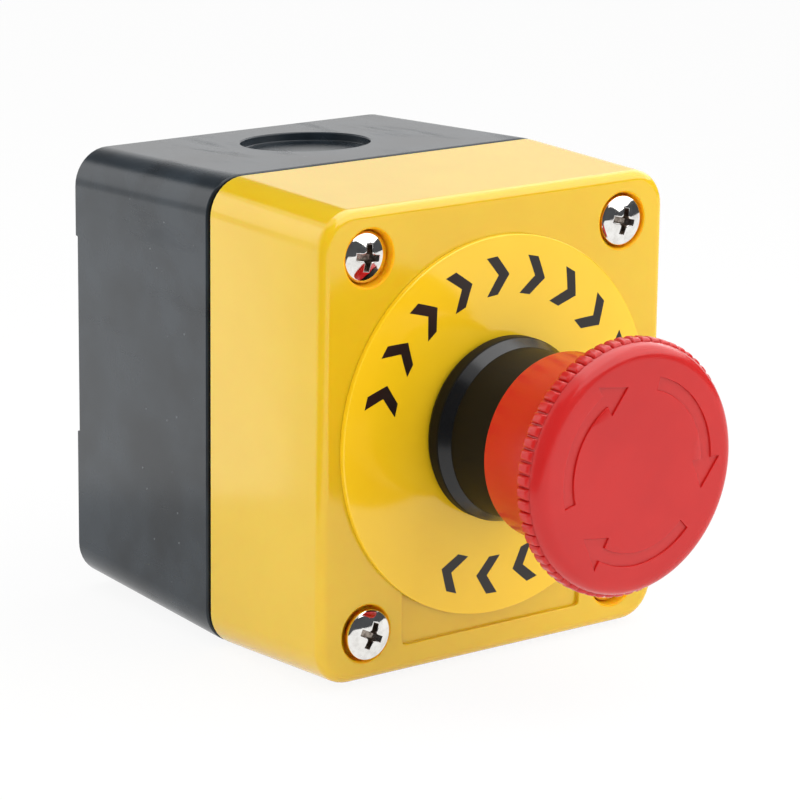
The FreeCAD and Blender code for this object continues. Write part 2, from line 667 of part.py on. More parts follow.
def draw_arrow(sketch):
    # curved band that ends in a triangular head, turning clockwise seen from the front
    inner = "(arrow_mean - arrow_band / 2)"
    outer = "(arrow_mean + arrow_band / 2)"
    mean, reach = sizes["arrow_mean"], sizes["knurl_radius"]
    inside, outside = mean - sizes["arrow_band"] / 2, mean + sizes["arrow_band"] / 2
    low_wing, high_wing = mean - sizes["arrow_head"] / 2, mean + sizes["arrow_head"] / 2
    tail_turn, tip_turn = math.radians(sizes["arrow_tail_angle"]), -math.radians(sizes["arrow_tip_angle"])
    rays = []
    for text, angle in (("arrow_tail_angle", tail_turn), ("0", 0.0), ("-arrow_tip_angle", tip_turn)):
        tip = FreeCAD.Vector(reach * math.cos(angle), reach * math.sin(angle), 0)
        ray = sketch.addGeometry(Part.LineSegment(FreeCAD.Vector(), tip), True)
        sketch.addConstraint(Sketcher.Constraint("Coincident", ray, 1, -1, 1))
        if text == "0":
            sketch.addConstraint(Sketcher.Constraint("Horizontal", ray))
        else:
            drive(sketch, Sketcher.Constraint("Angle", -1, 1, ray, 1, angle), text)
        drive(sketch, Sketcher.Constraint("Distance", ray, reach), "knurl_radius")
        rays.append(ray)
    arcs = []
    for text, radius in ((outer, outside), (inner, inside)):
        circle = Part.Circle(FreeCAD.Vector(), FreeCAD.Vector(0, 0, 1), radius)
        arc = sketch.addGeometry(Part.ArcOfCircle(circle, 0.0, tail_turn))
        sketch.addConstraint(Sketcher.Constraint("Coincident", arc, 3, -1, 1))
        drive(sketch, Sketcher.Constraint("Radius", arc, radius), text)
        sketch.addConstraint(Sketcher.Constraint("PointOnObject", arc, 1, rays[1]))
        sketch.addConstraint(Sketcher.Constraint("PointOnObject", arc, 2, rays[0]))
        arcs.append(arc)
    tip = FreeCAD.Vector(mean * math.cos(tip_turn), mean * math.sin(tip_turn), 0)
    path = [FreeCAD.Vector(outside, 0, 0), FreeCAD.Vector(high_wing, 0, 0), tip,
            FreeCAD.Vector(low_wing, 0, 0), FreeCAD.Vector(inside, 0, 0)]
    lines = [sketch.addGeometry(Part.LineSegment(path[k], path[k + 1])) for k in range(4)]
    for k in range(3):
        sketch.addConstraint(Sketcher.Constraint("Coincident", lines[k], 2, lines[k + 1], 1))
    sketch.addConstraint(Sketcher.Constraint("Coincident", lines[0], 1, arcs[0], 1))
    sketch.addConstraint(Sketcher.Constraint("Coincident", lines[3], 2, arcs[1], 1))
    sketch.addConstraint(Sketcher.Constraint("PointOnObject", lines[0], 2, rays[1]))
    sketch.addConstraint(Sketcher.Constraint("PointOnObject", lines[3], 1, rays[1]))
    drive(sketch, Sketcher.Constraint("Distance", -1, 1, lines[0], 2, high_wing),
          "arrow_mean + arrow_head / 2")
    drive(sketch, Sketcher.Constraint("Distance", -1, 1, lines[3], 1, low_wing),
          "arrow_mean - arrow_head / 2")
    sketch.addConstraint(Sketcher.Constraint("PointOnObject", lines[1], 2, rays[2]))
    drive(sketch, Sketcher.Constraint("Distance", -1, 1, lines[1], 2, mean), "arrow_mean")
    tail = sketch.addGeometry(Part.LineSegment(sketch.getPoint(arcs[1], 2), sketch.getPoint(arcs[0], 2)))
    sketch.addConstraint(Sketcher.Constraint("Coincident", tail, 1, arcs[1], 2))
    sketch.addConstraint(Sketcher.Constraint("Coincident", tail, 2, arcs[0], 2))


arrow = new_sketch(mushroom_head, "Arrow", "XZ_Plane", head_top)
draw_arrow(arrow)
arrow_cut = pocket(mushroom_head, "ArrowCut", arrow, "arrow_depth")
arrow_ring = mushroom_head.newObject("PartDesign::PolarPattern", "ArrowRing")
arrow_ring.Originals = [arrow_cut]
arrow_ring.Axis = (arrow, ["N_Axis"])
arrow_ring.Angle = 360
arrow_ring.Occurrences = 3
mushroom_head.Tip = arrow_ring
doc.recompute()

# plunger that carries the head, and the clip that keeps the head on it
neck_radius = "(journal_radius - clip_depth)"
plunger_stem = turned("plunger_stem", [("0", stem_rear), ("stem_radius", stem_rear),
                                       ("stem_radius", collar_back), ("stem_collar_radius", collar_back),
                                       ("stem_collar_radius", collar_front),
                                       ("journal_radius", collar_front),
                                       ("journal_radius", clip_back + " - slip_clearance"),
                                       (neck_radius, clip_back + " - slip_clearance"),
                                       (neck_radius, clip_front + " + slip_clearance"),
                                       ("journal_radius", clip_front + " + slip_clearance"),
                                       ("journal_radius", collar_front + " + journal_length"),
                                       ("0", collar_front + " + journal_length")])
head_clip = ring("head_clip", neck_radius + " + slip_clearance", "journal_radius + clip_bite",
                 clip_back, clip_front)

# twist release: a windowed cam sleeve on the hub, and two pins in the operator body
cam_inner = "(hub_radius + slip_clearance)"
cam_back = "(%s + cam_back)" % face
cam_front = "(%s + cam_front)" % face
release_cam = ring("release_cam", cam_inner, cam_inner + " + cam_wall", cam_back, cam_front)
window = new_sketch(release_cam, "CamWindow", "YZ_Plane")
draw_rectangle(window, "-(%s - cam_ring)" % cam_front, "-(%s + cam_ring)" % cam_back,
               "-cam_window / 2", "cam_window / 2")
window_cut = pocket(release_cam, "CamWindowCut", window, "8 * hub_radius")
window_cut.Midplane = True
latch_pin = new_body("latch_pin")
pin_sketch = new_sketch(latch_pin, "PinSection", "YZ_Plane", "pin_inner")
draw_circle(pin_sketch, "pin_radius", "-(%s + pin_at)" % face, "0")
pad(latch_pin, "PinPad", pin_sketch, "pin_outer - pin_inner")
latch_pins = mirrored_pair("latch_pins", latch_pin, sideways)

# springs
return_spring = coil("return_spring", "spring_radius", "spring_wire", "spring_turns",
                     chamber_back, collar_back)
contact_spring = coil("contact_spring", "contact_spring_radius", "contact_spring_wire",
                      "contact_spring_turns", block_rear, seat_back)

# holder that clamps the contact block to the barrel's end, with its two screws
contact_holder = new_body("contact_holder")
block(contact_holder, "HolderBlock", holder_back, "holder_floor + holder_cup",
      "holder_width", "holder_height")
cup = new_sketch(contact_holder, "HolderCup", "XZ_Plane", holder_front)
draw_circle(cup, "barrel_radius + slip_clearance")
pocket(contact_holder, "HolderCupCut", cup, "holder_cup")
stem_way = new_sketch(contact_holder, "StemWay", "XZ_Plane", holder_front)
draw_circle(stem_way, "stem_radius + moving_clearance")
pocket(contact_holder, "StemWayCut", stem_way, "2 * (holder_cup + holder_floor)")
fixing = new_sketch(contact_holder, "FixingHoles", "XZ_Plane", holder_front)
for level in ("-", ""):
    draw_circle(fixing, "holder_screw_radius + slip_clearance", "0", level + holder_screw_up)
pocket(contact_holder, "FixingCut", fixing, "2 * (holder_cup + holder_floor)")
fixing_tip = "(%s - holder_screw_reach)" % holder_back
fixing_top = "(%s + holder_screw_head_height)" % holder_front
holder_screw = turned("holder_screw", [("0", fixing_tip), ("holder_screw_radius", fixing_tip),
                                       ("holder_screw_radius", holder_front),
                                       ("holder_screw_head", holder_front),
                                       ("holder_screw_head", fixing_top), ("0", fixing_top)])
link(holder_screw, "Placement.Base.z", holder_screw_up)
holder_screws = mirrored_pair("holder_screws", holder_screw, upward)

# contact housing: hollow block with a terminal shelf at each end
contact_housing = new_body("contact_housing")
block(contact_housing, "HousingBlock", block_rear, "block_depth", "block_width", block_height)
block(contact_housing, "TerminalShelves", block_rear + " + shelf_back", "contact_level - shelf_back",
      "block_width", "(%s + 2 * shelf_height)" % block_height)
hollow = new_sketch(contact_housing, "HousingHollow", "XZ_Plane", holder_back + " - block_wall_front")
draw_centred(hollow, "(block_width - 2 * block_wall_side)", "(%s - 2 * block_wall_end)" % block_height)
pocket(contact_housing, "HousingHollowCut", hollow, "2 * block_depth")
pusher_way = new_sketch(contact_housing, "PusherWay", "XZ_Plane", holder_back)
draw_circle(pusher_way, "pusher_radius + running_clearance")
pocket(contact_housing, "PusherWayCut", pusher_way, "2 * block_wall_front")
strip_slot = new_sketch(contact_housing, "StripSlot", "XZ_Plane", strip_front + " + slip_clearance")
draw_centred(strip_slot, "(strip_width + 2 * slip_clearance)", "(%s + shelf_height)" % block_height)
pocket(contact_housing, "StripSlotCut", strip_slot, "strip_thickness + slip_clearance")
threads = new_sketch(contact_housing, "ThreadHoles", "XZ_Plane", holder_back)
for level in ("-", ""):
    draw_circle(threads, "holder_screw_radius + slip_clearance", "0", level + holder_screw_up)
pocket(contact_housing, "ThreadCut", threads, "holder_screw_reach + 2 * slip_clearance")
terminal_holes = new_sketch(contact_housing, "TerminalHoles", "XZ_Plane", strip_back)
for level in ("-", ""):
    draw_circle(terminal_holes, "terminal_screw_radius + slip_clearance", "0", level + terminal_up)
pocket(contact_housing, "TerminalCut", terminal_holes, "terminal_reach + 2 * slip_clearance")
housing_cover = new_body("housing_cover")
block(housing_cover, "HousingCoverPlate", cover_back, "block_back", "block_width", block_height)

# fixed contacts: one strip and silver tip at each end, with clamp and screw
contact_strip = new_body("contact_strip")
strip = new_sketch(contact_strip, "StripOutline", "XZ_Plane", strip_back)
draw_rectangle(strip, "-strip_width / 2", "strip_width / 2", "strip_inner", strip_outer)
draw_circle(strip, "terminal_screw_radius + slip_clearance", "0", terminal_up)
pad(contact_strip, "StripPad", strip, "strip_thickness")
fixed_contacts = mirrored_pair("fixed_contacts", contact_strip, upward)
fixed_tip = ring("fixed_tip", "0", "tip_radius", tips_meet, strip_back)
link(fixed_tip, "Placement.Base.z", "tip_at")
fixed_tips = mirrored_pair("fixed_tips", fixed_tip, upward)
clamp = new_body("clamp")
clamp_sketch = new_sketch(clamp, "ClampOutline", "XZ_Plane", strip_front)
draw_rectangle(clamp_sketch, "-clamp_size / 2", "clamp_size / 2",
               terminal_up + " - clamp_size / 2", terminal_up + " + clamp_size / 2")
draw_circle(clamp_sketch, "terminal_screw_radius + slip_clearance", "0", terminal_up)
pad(clamp, "ClampPad", clamp_sketch, "clamp_thickness")
terminal_clamps = mirrored_pair("terminal_clamps", clamp, upward)
clamp_front = "(%s + clamp_thickness)" % strip_front
terminal_tip = "(%s - terminal_reach)" % strip_back
terminal_top = "(%s + terminal_head_height)" % clamp_front
terminal_screw = turned("terminal_screw", [("0", terminal_tip), ("terminal_screw_radius", terminal_tip),
                                           ("terminal_screw_radius", clamp_front),
                                           ("terminal_head_radius", clamp_front),
                                           ("terminal_head_radius", terminal_top), ("0", terminal_top)])
slot = new_sketch(terminal_screw, "TerminalSlot", "XZ_Plane", terminal_top)
draw_centred(slot, "(3 * terminal_head_radius)", "terminal_slot")
pocket(terminal_screw, "TerminalSlotCut", slot, "terminal_head_height / 2")
link(terminal_screw, "Placement.Base.z", terminal_up)
terminal_screws = mirrored_pair("terminal_screws", terminal_screw, upward)

# moving contact: pusher, bridge with silver tips, and the spring's seat
pusher_end = "(%s - pusher_pin)" % seat_back
contact_pusher = turned("contact_pusher", [("0", pusher_end), ("pusher_neck", pusher_end),
                                           ("pusher_neck", bridge_front), ("pusher_radius", bridge_front),
                                           ("pusher_radius", pusher_front), ("0", pusher_front)])
contact_bridge = new_body("contact_bridge")
bridge = new_sketch(contact_bridge, "BridgeOutline", "XZ_Plane", bridge_back)
draw_centred(bridge, "bridge_width", "bridge_length")
draw_circle(bridge, "pusher_neck + slip_clearance")
pad(contact_bridge, "BridgePad", bridge, "bridge_thickness")
moving_tip = ring("moving_tip", "0", "tip_radius", bridge_front, tips_meet)
link(moving_tip, "Placement.Base.z", "tip_at")
moving_tips = mirrored_pair("moving_tips", moving_tip, upward)
spring_seat = ring("spring_seat", "pusher_neck + slip_clearance", "seat_radius", seat_back, bridge_back)
doc.recompute()

# one file for each piece, after every object has been checked
nodes = [rear_box, front_cover, cover_seal, cover_screws, legend_plate, operator_body, panel_seal,
         skirt_seal, lock_washer, lock_nut, latch_pins, return_spring, contact_holder, holder_screws,
         contact_housing, housing_cover, fixed_contacts, fixed_tips, terminal_clamps, terminal_screws,
         contact_spring, plunger_stem, head_clip, mushroom_head, release_cam,
         contact_pusher, contact_bridge, moving_tips, spring_seat]
for item in doc.Objects:
    if "Invalid" in item.State or "Error" in item.State:
        raise RuntimeError("%s did not build: %s" % (item.Label, item.getStatusString()))
os.makedirs("parts", exist_ok=True)
for node in nodes:
    if node.Shape.isNull() or not node.Shape.isValid():
        raise RuntimeError("%s has no sound shape" % node.Label)
    node.Shape.exportStep("parts/%s.step" % node.Label)
    print(node.Label, len(node.Shape.Solids), "solids,", round(node.Shape.Volume, 1), "cubic mm")
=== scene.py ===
import math
import bmesh
import bpy
import numpy as np
from mathutils import Matrix, Quaternion, Vector, geometry


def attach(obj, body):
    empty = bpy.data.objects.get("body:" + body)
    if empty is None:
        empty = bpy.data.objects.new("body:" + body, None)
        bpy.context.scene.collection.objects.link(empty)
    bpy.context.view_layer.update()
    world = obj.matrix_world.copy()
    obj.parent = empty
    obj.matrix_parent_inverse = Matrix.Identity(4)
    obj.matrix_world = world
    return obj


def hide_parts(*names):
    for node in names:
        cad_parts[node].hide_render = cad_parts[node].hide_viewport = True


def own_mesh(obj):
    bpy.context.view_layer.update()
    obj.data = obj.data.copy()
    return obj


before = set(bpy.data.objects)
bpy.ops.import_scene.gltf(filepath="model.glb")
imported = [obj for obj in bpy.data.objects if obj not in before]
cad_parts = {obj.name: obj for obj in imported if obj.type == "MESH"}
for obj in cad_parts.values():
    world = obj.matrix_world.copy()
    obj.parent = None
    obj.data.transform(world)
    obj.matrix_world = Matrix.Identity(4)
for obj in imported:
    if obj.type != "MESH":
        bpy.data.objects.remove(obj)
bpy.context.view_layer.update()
mm = 0.001
meshReach = dict(weld=2e-6, sliver=1e-7, point=1e-6)  # closer points are one: metres, metres and mm
cornerSteps = 10  # steps round a wall's corner
print("frame loaded")


# mesh helpers: every patch is (points in mm, faces, material index)
def gridPatch(points, closed=True, paint=0):
    # points are rows x columns x 3, and neighbouring rows and columns make quads
    rows, columns = points.shape[:2]
    row = np.arange(rows - 1)[:, None] * columns
    column = np.arange(columns if closed else columns - 1)[None, :]
    after = (column + 1) % columns
    quads = np.stack([row + column, row + after, row + columns + after, row + columns + column], -1)
    return points.reshape(-1, 3), quads.reshape(-1, 4), paint


def evenTurns(count):
    # angles spread evenly over a full turn
    return np.arange(count) * 2 * math.pi / count


def softProfile(corners, steps=5):
    # corners are radius, depth and reach; each corner becomes the quadratic curve between the two
    # points that lie its reach away along its edges, with the corner as the pulling point
    corner = np.array(corners, float)
    point, reach = corner[:, :2], corner[:, 2:]
    back = np.roll(point, 1, 0) - point
    ahead = np.roll(point, -1, 0) - point
    start = point + back / np.linalg.norm(back, axis=1, keepdims=True) * reach
    stop = point + ahead / np.linalg.norm(ahead, axis=1, keepdims=True) * reach
    s = np.linspace(0, 1, steps + 1)[None, :, None]
    curve = (1 - s) ** 2 * start[:, None] + 2 * s * (1 - s) * point[:, None] + s ** 2 * stop[:, None]
    return curve.reshape(-1, 2)


def turnedPoints(profile, turns, centre=(0, 0)):
    # a profile of radius and depth carried round the front axis: x + r cos a, -depth, z + r sin a
    radius, depth = profile[:, :1], profile[:, 1:]
    x = centre[0] + radius * np.cos(turns)
    z = centre[1] + radius * np.sin(turns)
    return np.stack([x, -depth + 0 * x, z], -1)


def turnedPatch(profile, turns, centre=(0, 0), paint=0):
    return gridPatch(turnedPoints(profile, turns, centre), paint=paint)


def oddInside(points, loops):
    # even-odd rule: a point is inside when a ray to its right crosses the loops an odd number of times
    count = np.zeros(len(points), int)
    for loop in loops:
        after = np.roll(loop, -1, 0)
        over = (loop[:, 1] > points[:, 1:2]) != (after[:, 1] > points[:, 1:2])
        rise = np.where(after[:, 1] == loop[:, 1], 1, after[:, 1] - loop[:, 1])
        cross = loop[:, 0] + (points[:, 1:2] - loop[:, 1]) * (after[:, 0] - loop[:, 0]) / rise
        count += (over & (points[:, :1] < cross)).sum(1)
    return count % 2 == 1


def loopPatch(loops, lift, lines=(), dots=(), paint=0):
    # flat region bounded by loops, cut into triangles through their points and any loose dots;
    # lift turns the plane's two coordinates into points of the object
    edges, start = list(lines), 0
    for loop in loops:
        index = np.arange(len(loop))
        edges += np.stack([start + index, start + (index + 1) % len(loop)], 1).tolist()
        start += len(loop)
    flat = np.concatenate([*loops, *dots])
    wholeCut = 0  # triangles over the whole hull, of which the inner ones are kept
    made = geometry.delaunay_2d_cdt(flat.tolist(), edges, [], wholeCut, meshReach["point"])
    flat = np.array([tuple(p) for p in made[0]])
    triangles = np.array(made[2])
    kept = triangles[oddInside(flat[triangles].mean(1), loops)]
    return lift(flat), kept, paint


def atDepth(depth):
    # sets a plane's two coordinates as x and z at one depth
    return lambda flat: np.stack([flat[:, 0], np.full(len(flat), -depth), flat[:, 1]], 1)


def roundLoop(radius, turns, centre=(0, 0)):
    # circle: x + r cos a, z + r sin a
    return np.stack([centre[0] + radius * np.cos(turns), centre[1] + radius * np.sin(turns)], 1)


def boxRing(halfWide, halfTall, radius, steps=cornerSteps, stops=(), centre=(0, 0)):
    # rounded rectangle, anticlockwise from the right side, with extra points at the stops of both sides
    turn = np.linspace(0, math.pi / 2, steps + 1)
    arc = radius * np.stack([np.cos(turn), np.sin(turn)], 1)
    turned = np.stack([-arc[:, 1], arc[:, 0]], 1)
    core = np.array([halfWide - radius, halfTall - radius])
    rise = np.array(stops, float).reshape(-1, 1)
    side = np.full_like(rise, halfWide)
    ring = [np.hstack([side, rise]), core + arc, core * (-1, 1) + turned,
            np.hstack([-side, rise[::-1]]), -core - arc, core * (1, -1) - turned]
    return np.concatenate(ring) + centre


def makePiece(name, patches, materials, body, nodes=(), sharp=38):
    # patches are welded into one closed skin that faces outwards; flats keep flat normals beside roundings
    points, faces, paints, start = [], [], [], 0
    for patchPoints, patchFaces, paint in patches:
        points.append(patchPoints)
        faces += (patchFaces + start).tolist()
        paints += [paint] * len(patchFaces)
        start += len(patchPoints)
    mesh = bpy.data.meshes.new(name)
    mesh.from_pydata((np.concatenate(points) * mm).tolist(), [], faces)
    mesh.polygons.foreach_set("material_index", paints)
    skin = bmesh.new()
    skin.from_mesh(mesh)
    bmesh.ops.remove_doubles(skin, verts=skin.verts, dist=meshReach["weld"])
    bmesh.ops.dissolve_degenerate(skin, dist=meshReach["sliver"], edges=skin.edges)
    bmesh.ops.recalc_face_normals(skin, faces=skin.faces)
    skin.to_mesh(mesh)
    openEdges = sum(edge.is_boundary for edge in skin.edges)
    skin.free()
    mesh.polygons.foreach_set("use_smooth", np.ones(len(mesh.polygons), bool))
    mesh.set_sharp_from_angle(angle=math.radians(sharp))
    for material in materials:
        mesh.materials.append(material)
    piece = bpy.data.objects.new(name, mesh)
    bpy.context.collection.objects.link(piece)
    even = piece.modifiers.new("evenNormals", "WEIGHTED_NORMAL")
    even.keep_sharp = True
    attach(piece, body)
    if nodes:
        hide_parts(*nodes)
    print(name, len(mesh.polygons), "faces", openEdges, "open edges")
    return piece


# shader helper: a wrapped socket, so that sums on it add Math nodes
def feed(tree, socket, value):
    if isinstance(value, Sock):
        tree.links.new(value.out, socket)
    else:
        socket.default_value = value


class Sock:
    def __init__(self, tree, out):
        self.tree = tree
        self.out = out

    def add(self, kind, settings, inputs, pick=0):
        # any node: its settings first, then the values or links of its sockets
        node = self.tree.nodes.new(kind)
        for key, value in settings.items():
            setattr(node, key, value)
        for key, value in inputs.items():
            feed(self.tree, node.inputs[key], value)
        return Sock(self.tree, node.outputs[pick])

    def maths(self, operation, first, second):
        return self.add("ShaderNodeMath", {"operation": operation}, {0: first, 1: second})

    def __add__(self, other):
        return self.maths("ADD", self, other)

    def __radd__(self, other):
        return self.maths("ADD", other, self)

    def __sub__(self, other):
        return self.maths("SUBTRACT", self, other)

    def __rsub__(self, other):
        return self.maths("SUBTRACT", other, self)

    def __mul__(self, other):
        return self.maths("MULTIPLY", self, other)

    def __rmul__(self, other):
        return self.maths("MULTIPLY", other, self)

    def noise(self, scale, detail=2.0, rough=0.5):
        inputs = {"Vector": self, "Scale": scale, "Detail": detail, "Roughness": rough}
        return self.add("ShaderNodeTexNoise", {}, inputs)

    def stretched(self, scale):
        return self.add("ShaderNodeMapping", {}, {"Vector": self, "Scale": scale})

    def between(self, low, high):
        # 0 below low, 1 above high, smooth in the middle
        settings = {"interpolation_type": "SMOOTHSTEP"}
        return self.add("ShaderNodeMapRange", settings, {"Value": self, "From Min": low, "From Max": high})

    def tint(self, low, high):
        # colour that goes from low to high with this value; 6 and 7 are the node's colours, 2 is its result
        return self.add("ShaderNodeMix", {"data_type": "RGBA"}, {0: self, 6: low, 7: high}, 2)

    def bumped(self, distance):
        return self.add("ShaderNodeBump", {}, {"Height": self, "Distance": distance, "Strength": 1.0})

    def specks(self, scale, size, share):
        # sparse round specks: near a cell's seed, and only in the given share of the cells
        cells = {"Vector": self, "Scale": scale}
        near = self.add("ShaderNodeTexVoronoi", {}, cells)
        chance = self.add("ShaderNodeTexVoronoi", {}, cells, 1)
        pick = chance.add("ShaderNodeSeparateColor", {}, {0: chance})
        step = 0.01  # the choice of cells is nearly sharp
        return (1 - near.between(size / 2, size)) * pick.between(1 - share, 1 - share + step)


def srgb(red, green, blue):
    # display values from 0 to 255 as linear light
    value = np.array([red, green, blue]) / 255
    linear = np.where(value <= 0.04045, value / 12.92, ((value + 0.055) / 1.055) ** 2.4)
    return (*linear.tolist(), 1.0)


def startMaterial(name):
    material = bpy.data.materials.new(name)
    material.use_nodes = True
    tree = material.node_tree
    shader = tree.nodes["Principled BSDF"]
    place = Sock(tree, tree.nodes.new("ShaderNodeTexCoord").outputs["Object"])
    return material, shader, place


# finishes
def mouldedPlastic(name, look):
    # moulded skin: slow colour drift, fine surface grain, faint rubbing marks and a little dust
    material, shader, place = startMaterial(name)
    tree = material.node_tree
    drift = place.noise(look["driftScale"], detail=3.0, rough=0.6).between(low=0.3, high=0.7)
    dust = place.specks(look["dustScale"], look["dustSize"], look["dustShare"])
    rubbed = place.stretched(look["rubStretch"]).noise(look["rubScale"], detail=4.0, rough=0.65)
    rub = rubbed.between(low=0.52, high=0.78)
    grain = place.noise(look["grainScale"], rough=0.55)
    colour = dust.tint(drift.tint(look["dark"], look["light"]), look["dust"])
    feed(tree, shader.inputs["Base Color"], colour)
    roughness = look["rough"] + rub * look["rubRough"] + dust * look["dustRough"]
    feed(tree, shader.inputs["Roughness"], roughness)
    feed(tree, shader.inputs["Normal"], grain.bumped(look["grainHeight"]))
    shader.inputs["IOR"].default_value = look["ior"]
    shader.inputs["Specular IOR Level"].default_value = look["gloss"]
    shader.inputs["Subsurface Weight"].default_value = look["soft"]
    shader.inputs["Subsurface Radius"].default_value = look["softReach"]
    shader.inputs["Subsurface Scale"].default_value = mm
    return material


def wornMetal(name, look):
    # plated or plain metal: cloudy roughness, hair lines and small tarnish
    material, shader, place = startMaterial(name)
    tree = material.node_tree
    cloud = place.noise(look["cloudScale"], detail=4.0, rough=0.6).between(low=0.35, high=0.7)
    hair = place.stretched(hairStretch).noise(look["hairScale"], detail=3.0, rough=0.6)
    feed(tree, shader.inputs["Base Color"], cloud.tint(look["light"], look["dark"]))
    feed(tree, shader.inputs["Roughness"], look["rough"] + cloud * look["cloudRough"])
    feed(tree, shader.inputs["Normal"], hair.bumped(look["hairHeight"]))
    shader.inputs["Metallic"].default_value = 1.0
    return material


def softRubber(name, look):
    # matt rubber with a faint bloom and a fine grain
    material, shader, place = startMaterial(name)
    tree = material.node_tree
    bloom = place.noise(look["bloomScale"], detail=3.0, rough=0.6).between(low=0.4, high=0.75)
    grain = place.noise(look["grainScale"])
    feed(tree, shader.inputs["Base Color"], bloom.tint(look["dark"], look["light"]))
    feed(tree, shader.inputs["Roughness"], look["rough"] + bloom * look["bloomRough"])
    feed(tree, shader.inputs["Normal"], grain.bumped(look["grainHeight"]))
    return material


def printInk(name, look):
    # screen print: nearly even, with fine pinholes and a slightly uneven film
    material, shader, place = startMaterial(name)
    tree = material.node_tree
    film = place.noise(look["filmScale"], detail=3.0, rough=0.6)
    pins = place.specks(look["pinScale"], look["pinSize"], look["pinShare"])
    feed(tree, shader.inputs["Base Color"], pins.tint(film.tint(look["dark"], look["light"]), look["pin"]))
    feed(tree, shader.inputs["Roughness"], look["rough"] + film * look["filmRough"])
    feed(tree, shader.inputs["Normal"], film.bumped(look["filmHeight"]))
    return material


hairStretch = (1.0, 1.0, 14.0)
# what the moulded finishes share; each names only what differs
plasticBase = dict(driftScale=55.0, dustScale=420.0, dustSize=0.1, dustShare=0.1, dustRough=0.25,
                   rubScale=190.0, rubStretch=(1.0, 0.16, 1.0), grainScale=2600.0, grainHeight=0.000006,
                   ior=1.5, gloss=0.5, soft=0.0, softReach=(1.0, 1.0, 1.0))
blackPlastic = mouldedPlastic("blackPlastic", dict(
    plasticBase, dark=srgb(16, 23, 29), light=srgb(41, 49, 56), dust=srgb(112, 117, 120),
    rough=0.23, rubRough=0.14, grainHeight=0.000012, dustSize=0.08, dustShare=0.2, gloss=0.33))
yellowPlastic = mouldedPlastic("yellowPlastic", dict(
    plasticBase, dark=srgb(223, 184, 27), light=srgb(226, 188, 32), dust=srgb(236, 200, 70),
    rough=0.13, rubRough=0.02, grainHeight=0.000002, dustShare=0.01, ior=1.62,
    soft=0.4, softReach=(2.0, 0.7, 0.1)))
# the screw wells get a more orange copy of the cover's yellow: a painted glow of light bounced and
# scattered inside the wells
wellPaintedGlow = mouldedPlastic("wellPaintedGlow", dict(
    plasticBase, dark=srgb(244, 168, 12), light=srgb(247, 174, 18), dust=srgb(246, 190, 60),
    rough=0.45, rubRough=0.03, grainHeight=0.000003, dustShare=0.01, gloss=0.15,
    soft=0.9, softReach=(3.0, 1.2, 0.1)))
# the legend disc is paler than the cover: partly its own tone, partly painted light that lifts it against
# the shade of the head
legendYellow = mouldedPlastic("legendYellow", dict(
    plasticBase, dark=srgb(243, 199, 27), light=srgb(246, 203, 34), dust=srgb(249, 212, 80),
    rough=0.1, rubRough=0.03, grainScale=3400.0, grainHeight=0.000002, dustShare=0.01, ior=1.6))
bezelBlack = mouldedPlastic("bezelBlack", dict(
    plasticBase, dark=srgb(12, 13, 15), light=srgb(16, 17, 19), dust=srgb(38, 40, 42),
    rough=0.22, rubRough=0.05, dustShare=0.03, gloss=0.45))
sleeveBlack = mouldedPlastic("sleeveBlack", dict(
    plasticBase, dark=srgb(12, 11, 10), light=srgb(15, 14, 13), dust=srgb(30, 30, 30),
    rough=0.5, rubRough=0.08, dustShare=0.02, gloss=0.16))
redPlastic = mouldedPlastic("redPlastic", dict(
    plasticBase, dark=srgb(187, 28, 27), light=srgb(194, 32, 30), dust=srgb(210, 60, 56),
    rough=0.22, rubRough=0.02, grainHeight=0.000004, dustShare=0.01, gloss=0.45,
    soft=0.3, softReach=(2.5, 0.4, 0.3)))
redFrosted = mouldedPlastic("redFrosted", dict(
    plasticBase, dark=srgb(187, 30, 29), light=srgb(197, 36, 34), dust=srgb(216, 80, 76),
    rough=0.32, rubRough=0.06, grainScale=5200.0, grainHeight=0.00001, dustShare=0.04,
    soft=0.3, softReach=(2.5, 0.4, 0.3)))
mechanismWhite = mouldedPlastic("mechanismWhite", dict(
    plasticBase, dark=srgb(196, 196, 190), light=srgb(208, 208, 202), dust=srgb(225, 225, 220),
    rough=0.36, rubRough=0.1))
contactRed = mouldedPlastic("contactRed", dict(
    plasticBase, dark=srgb(172, 66, 60), light=srgb(182, 74, 66), dust=srgb(206, 130, 124),
    rough=0.42, rubRough=0.1))
screwPlate = wornMetal("screwPlate", dict(
    light=srgb(238, 237, 234), dark=srgb(222, 220, 216), rough=0.04, cloudRough=0.06,
    cloudScale=700.0, hairScale=900.0, hairHeight=0.000001))
# the cross recess gets a darker, brownish copy of the plating: painted shade in the recess
screwRecessShade = wornMetal("screwRecessShade", dict(
    light=srgb(170, 160, 150), dark=srgb(110, 100, 92), rough=0.25, cloudRough=0.15,
    cloudScale=1500.0, hairScale=1400.0, hairHeight=0.000006))
springSteel = wornMetal("springSteel", dict(
    light=srgb(196, 198, 200), dark=srgb(160, 162, 164), rough=0.22, cloudRough=0.15,
    cloudScale=500.0, hairScale=1200.0, hairHeight=0.000004))
contactBrass = wornMetal("contactBrass", dict(
    light=srgb(222, 188, 110), dark=srgb(190, 150, 82), rough=0.24, cloudRough=0.18,
    cloudScale=300.0, hairScale=800.0, hairHeight=0.000004))
contactSilver = wornMetal("contactSilver", dict(
    light=srgb(232, 231, 228), dark=srgb(198, 196, 190), rough=0.2, cloudRough=0.2,
    cloudScale=600.0, hairScale=900.0, hairHeight=0.000003))
sealRubber = softRubber("sealRubber", dict(
    dark=srgb(16, 16, 16), light=srgb(28, 28, 29), rough=0.62, bloomRough=0.2, bloomScale=220.0,
    grainScale=3500.0, grainHeight=0.00002))
legendInk = printInk("legendInk", dict(
    dark=srgb(24, 17, 12), light=srgb(32, 24, 18), pin=srgb(60, 44, 20), rough=0.26, filmRough=0.16,
    filmScale=900.0, filmHeight=0.000004, pinScale=2600.0, pinSize=0.22, pinShare=0.12))
print("finishes made")


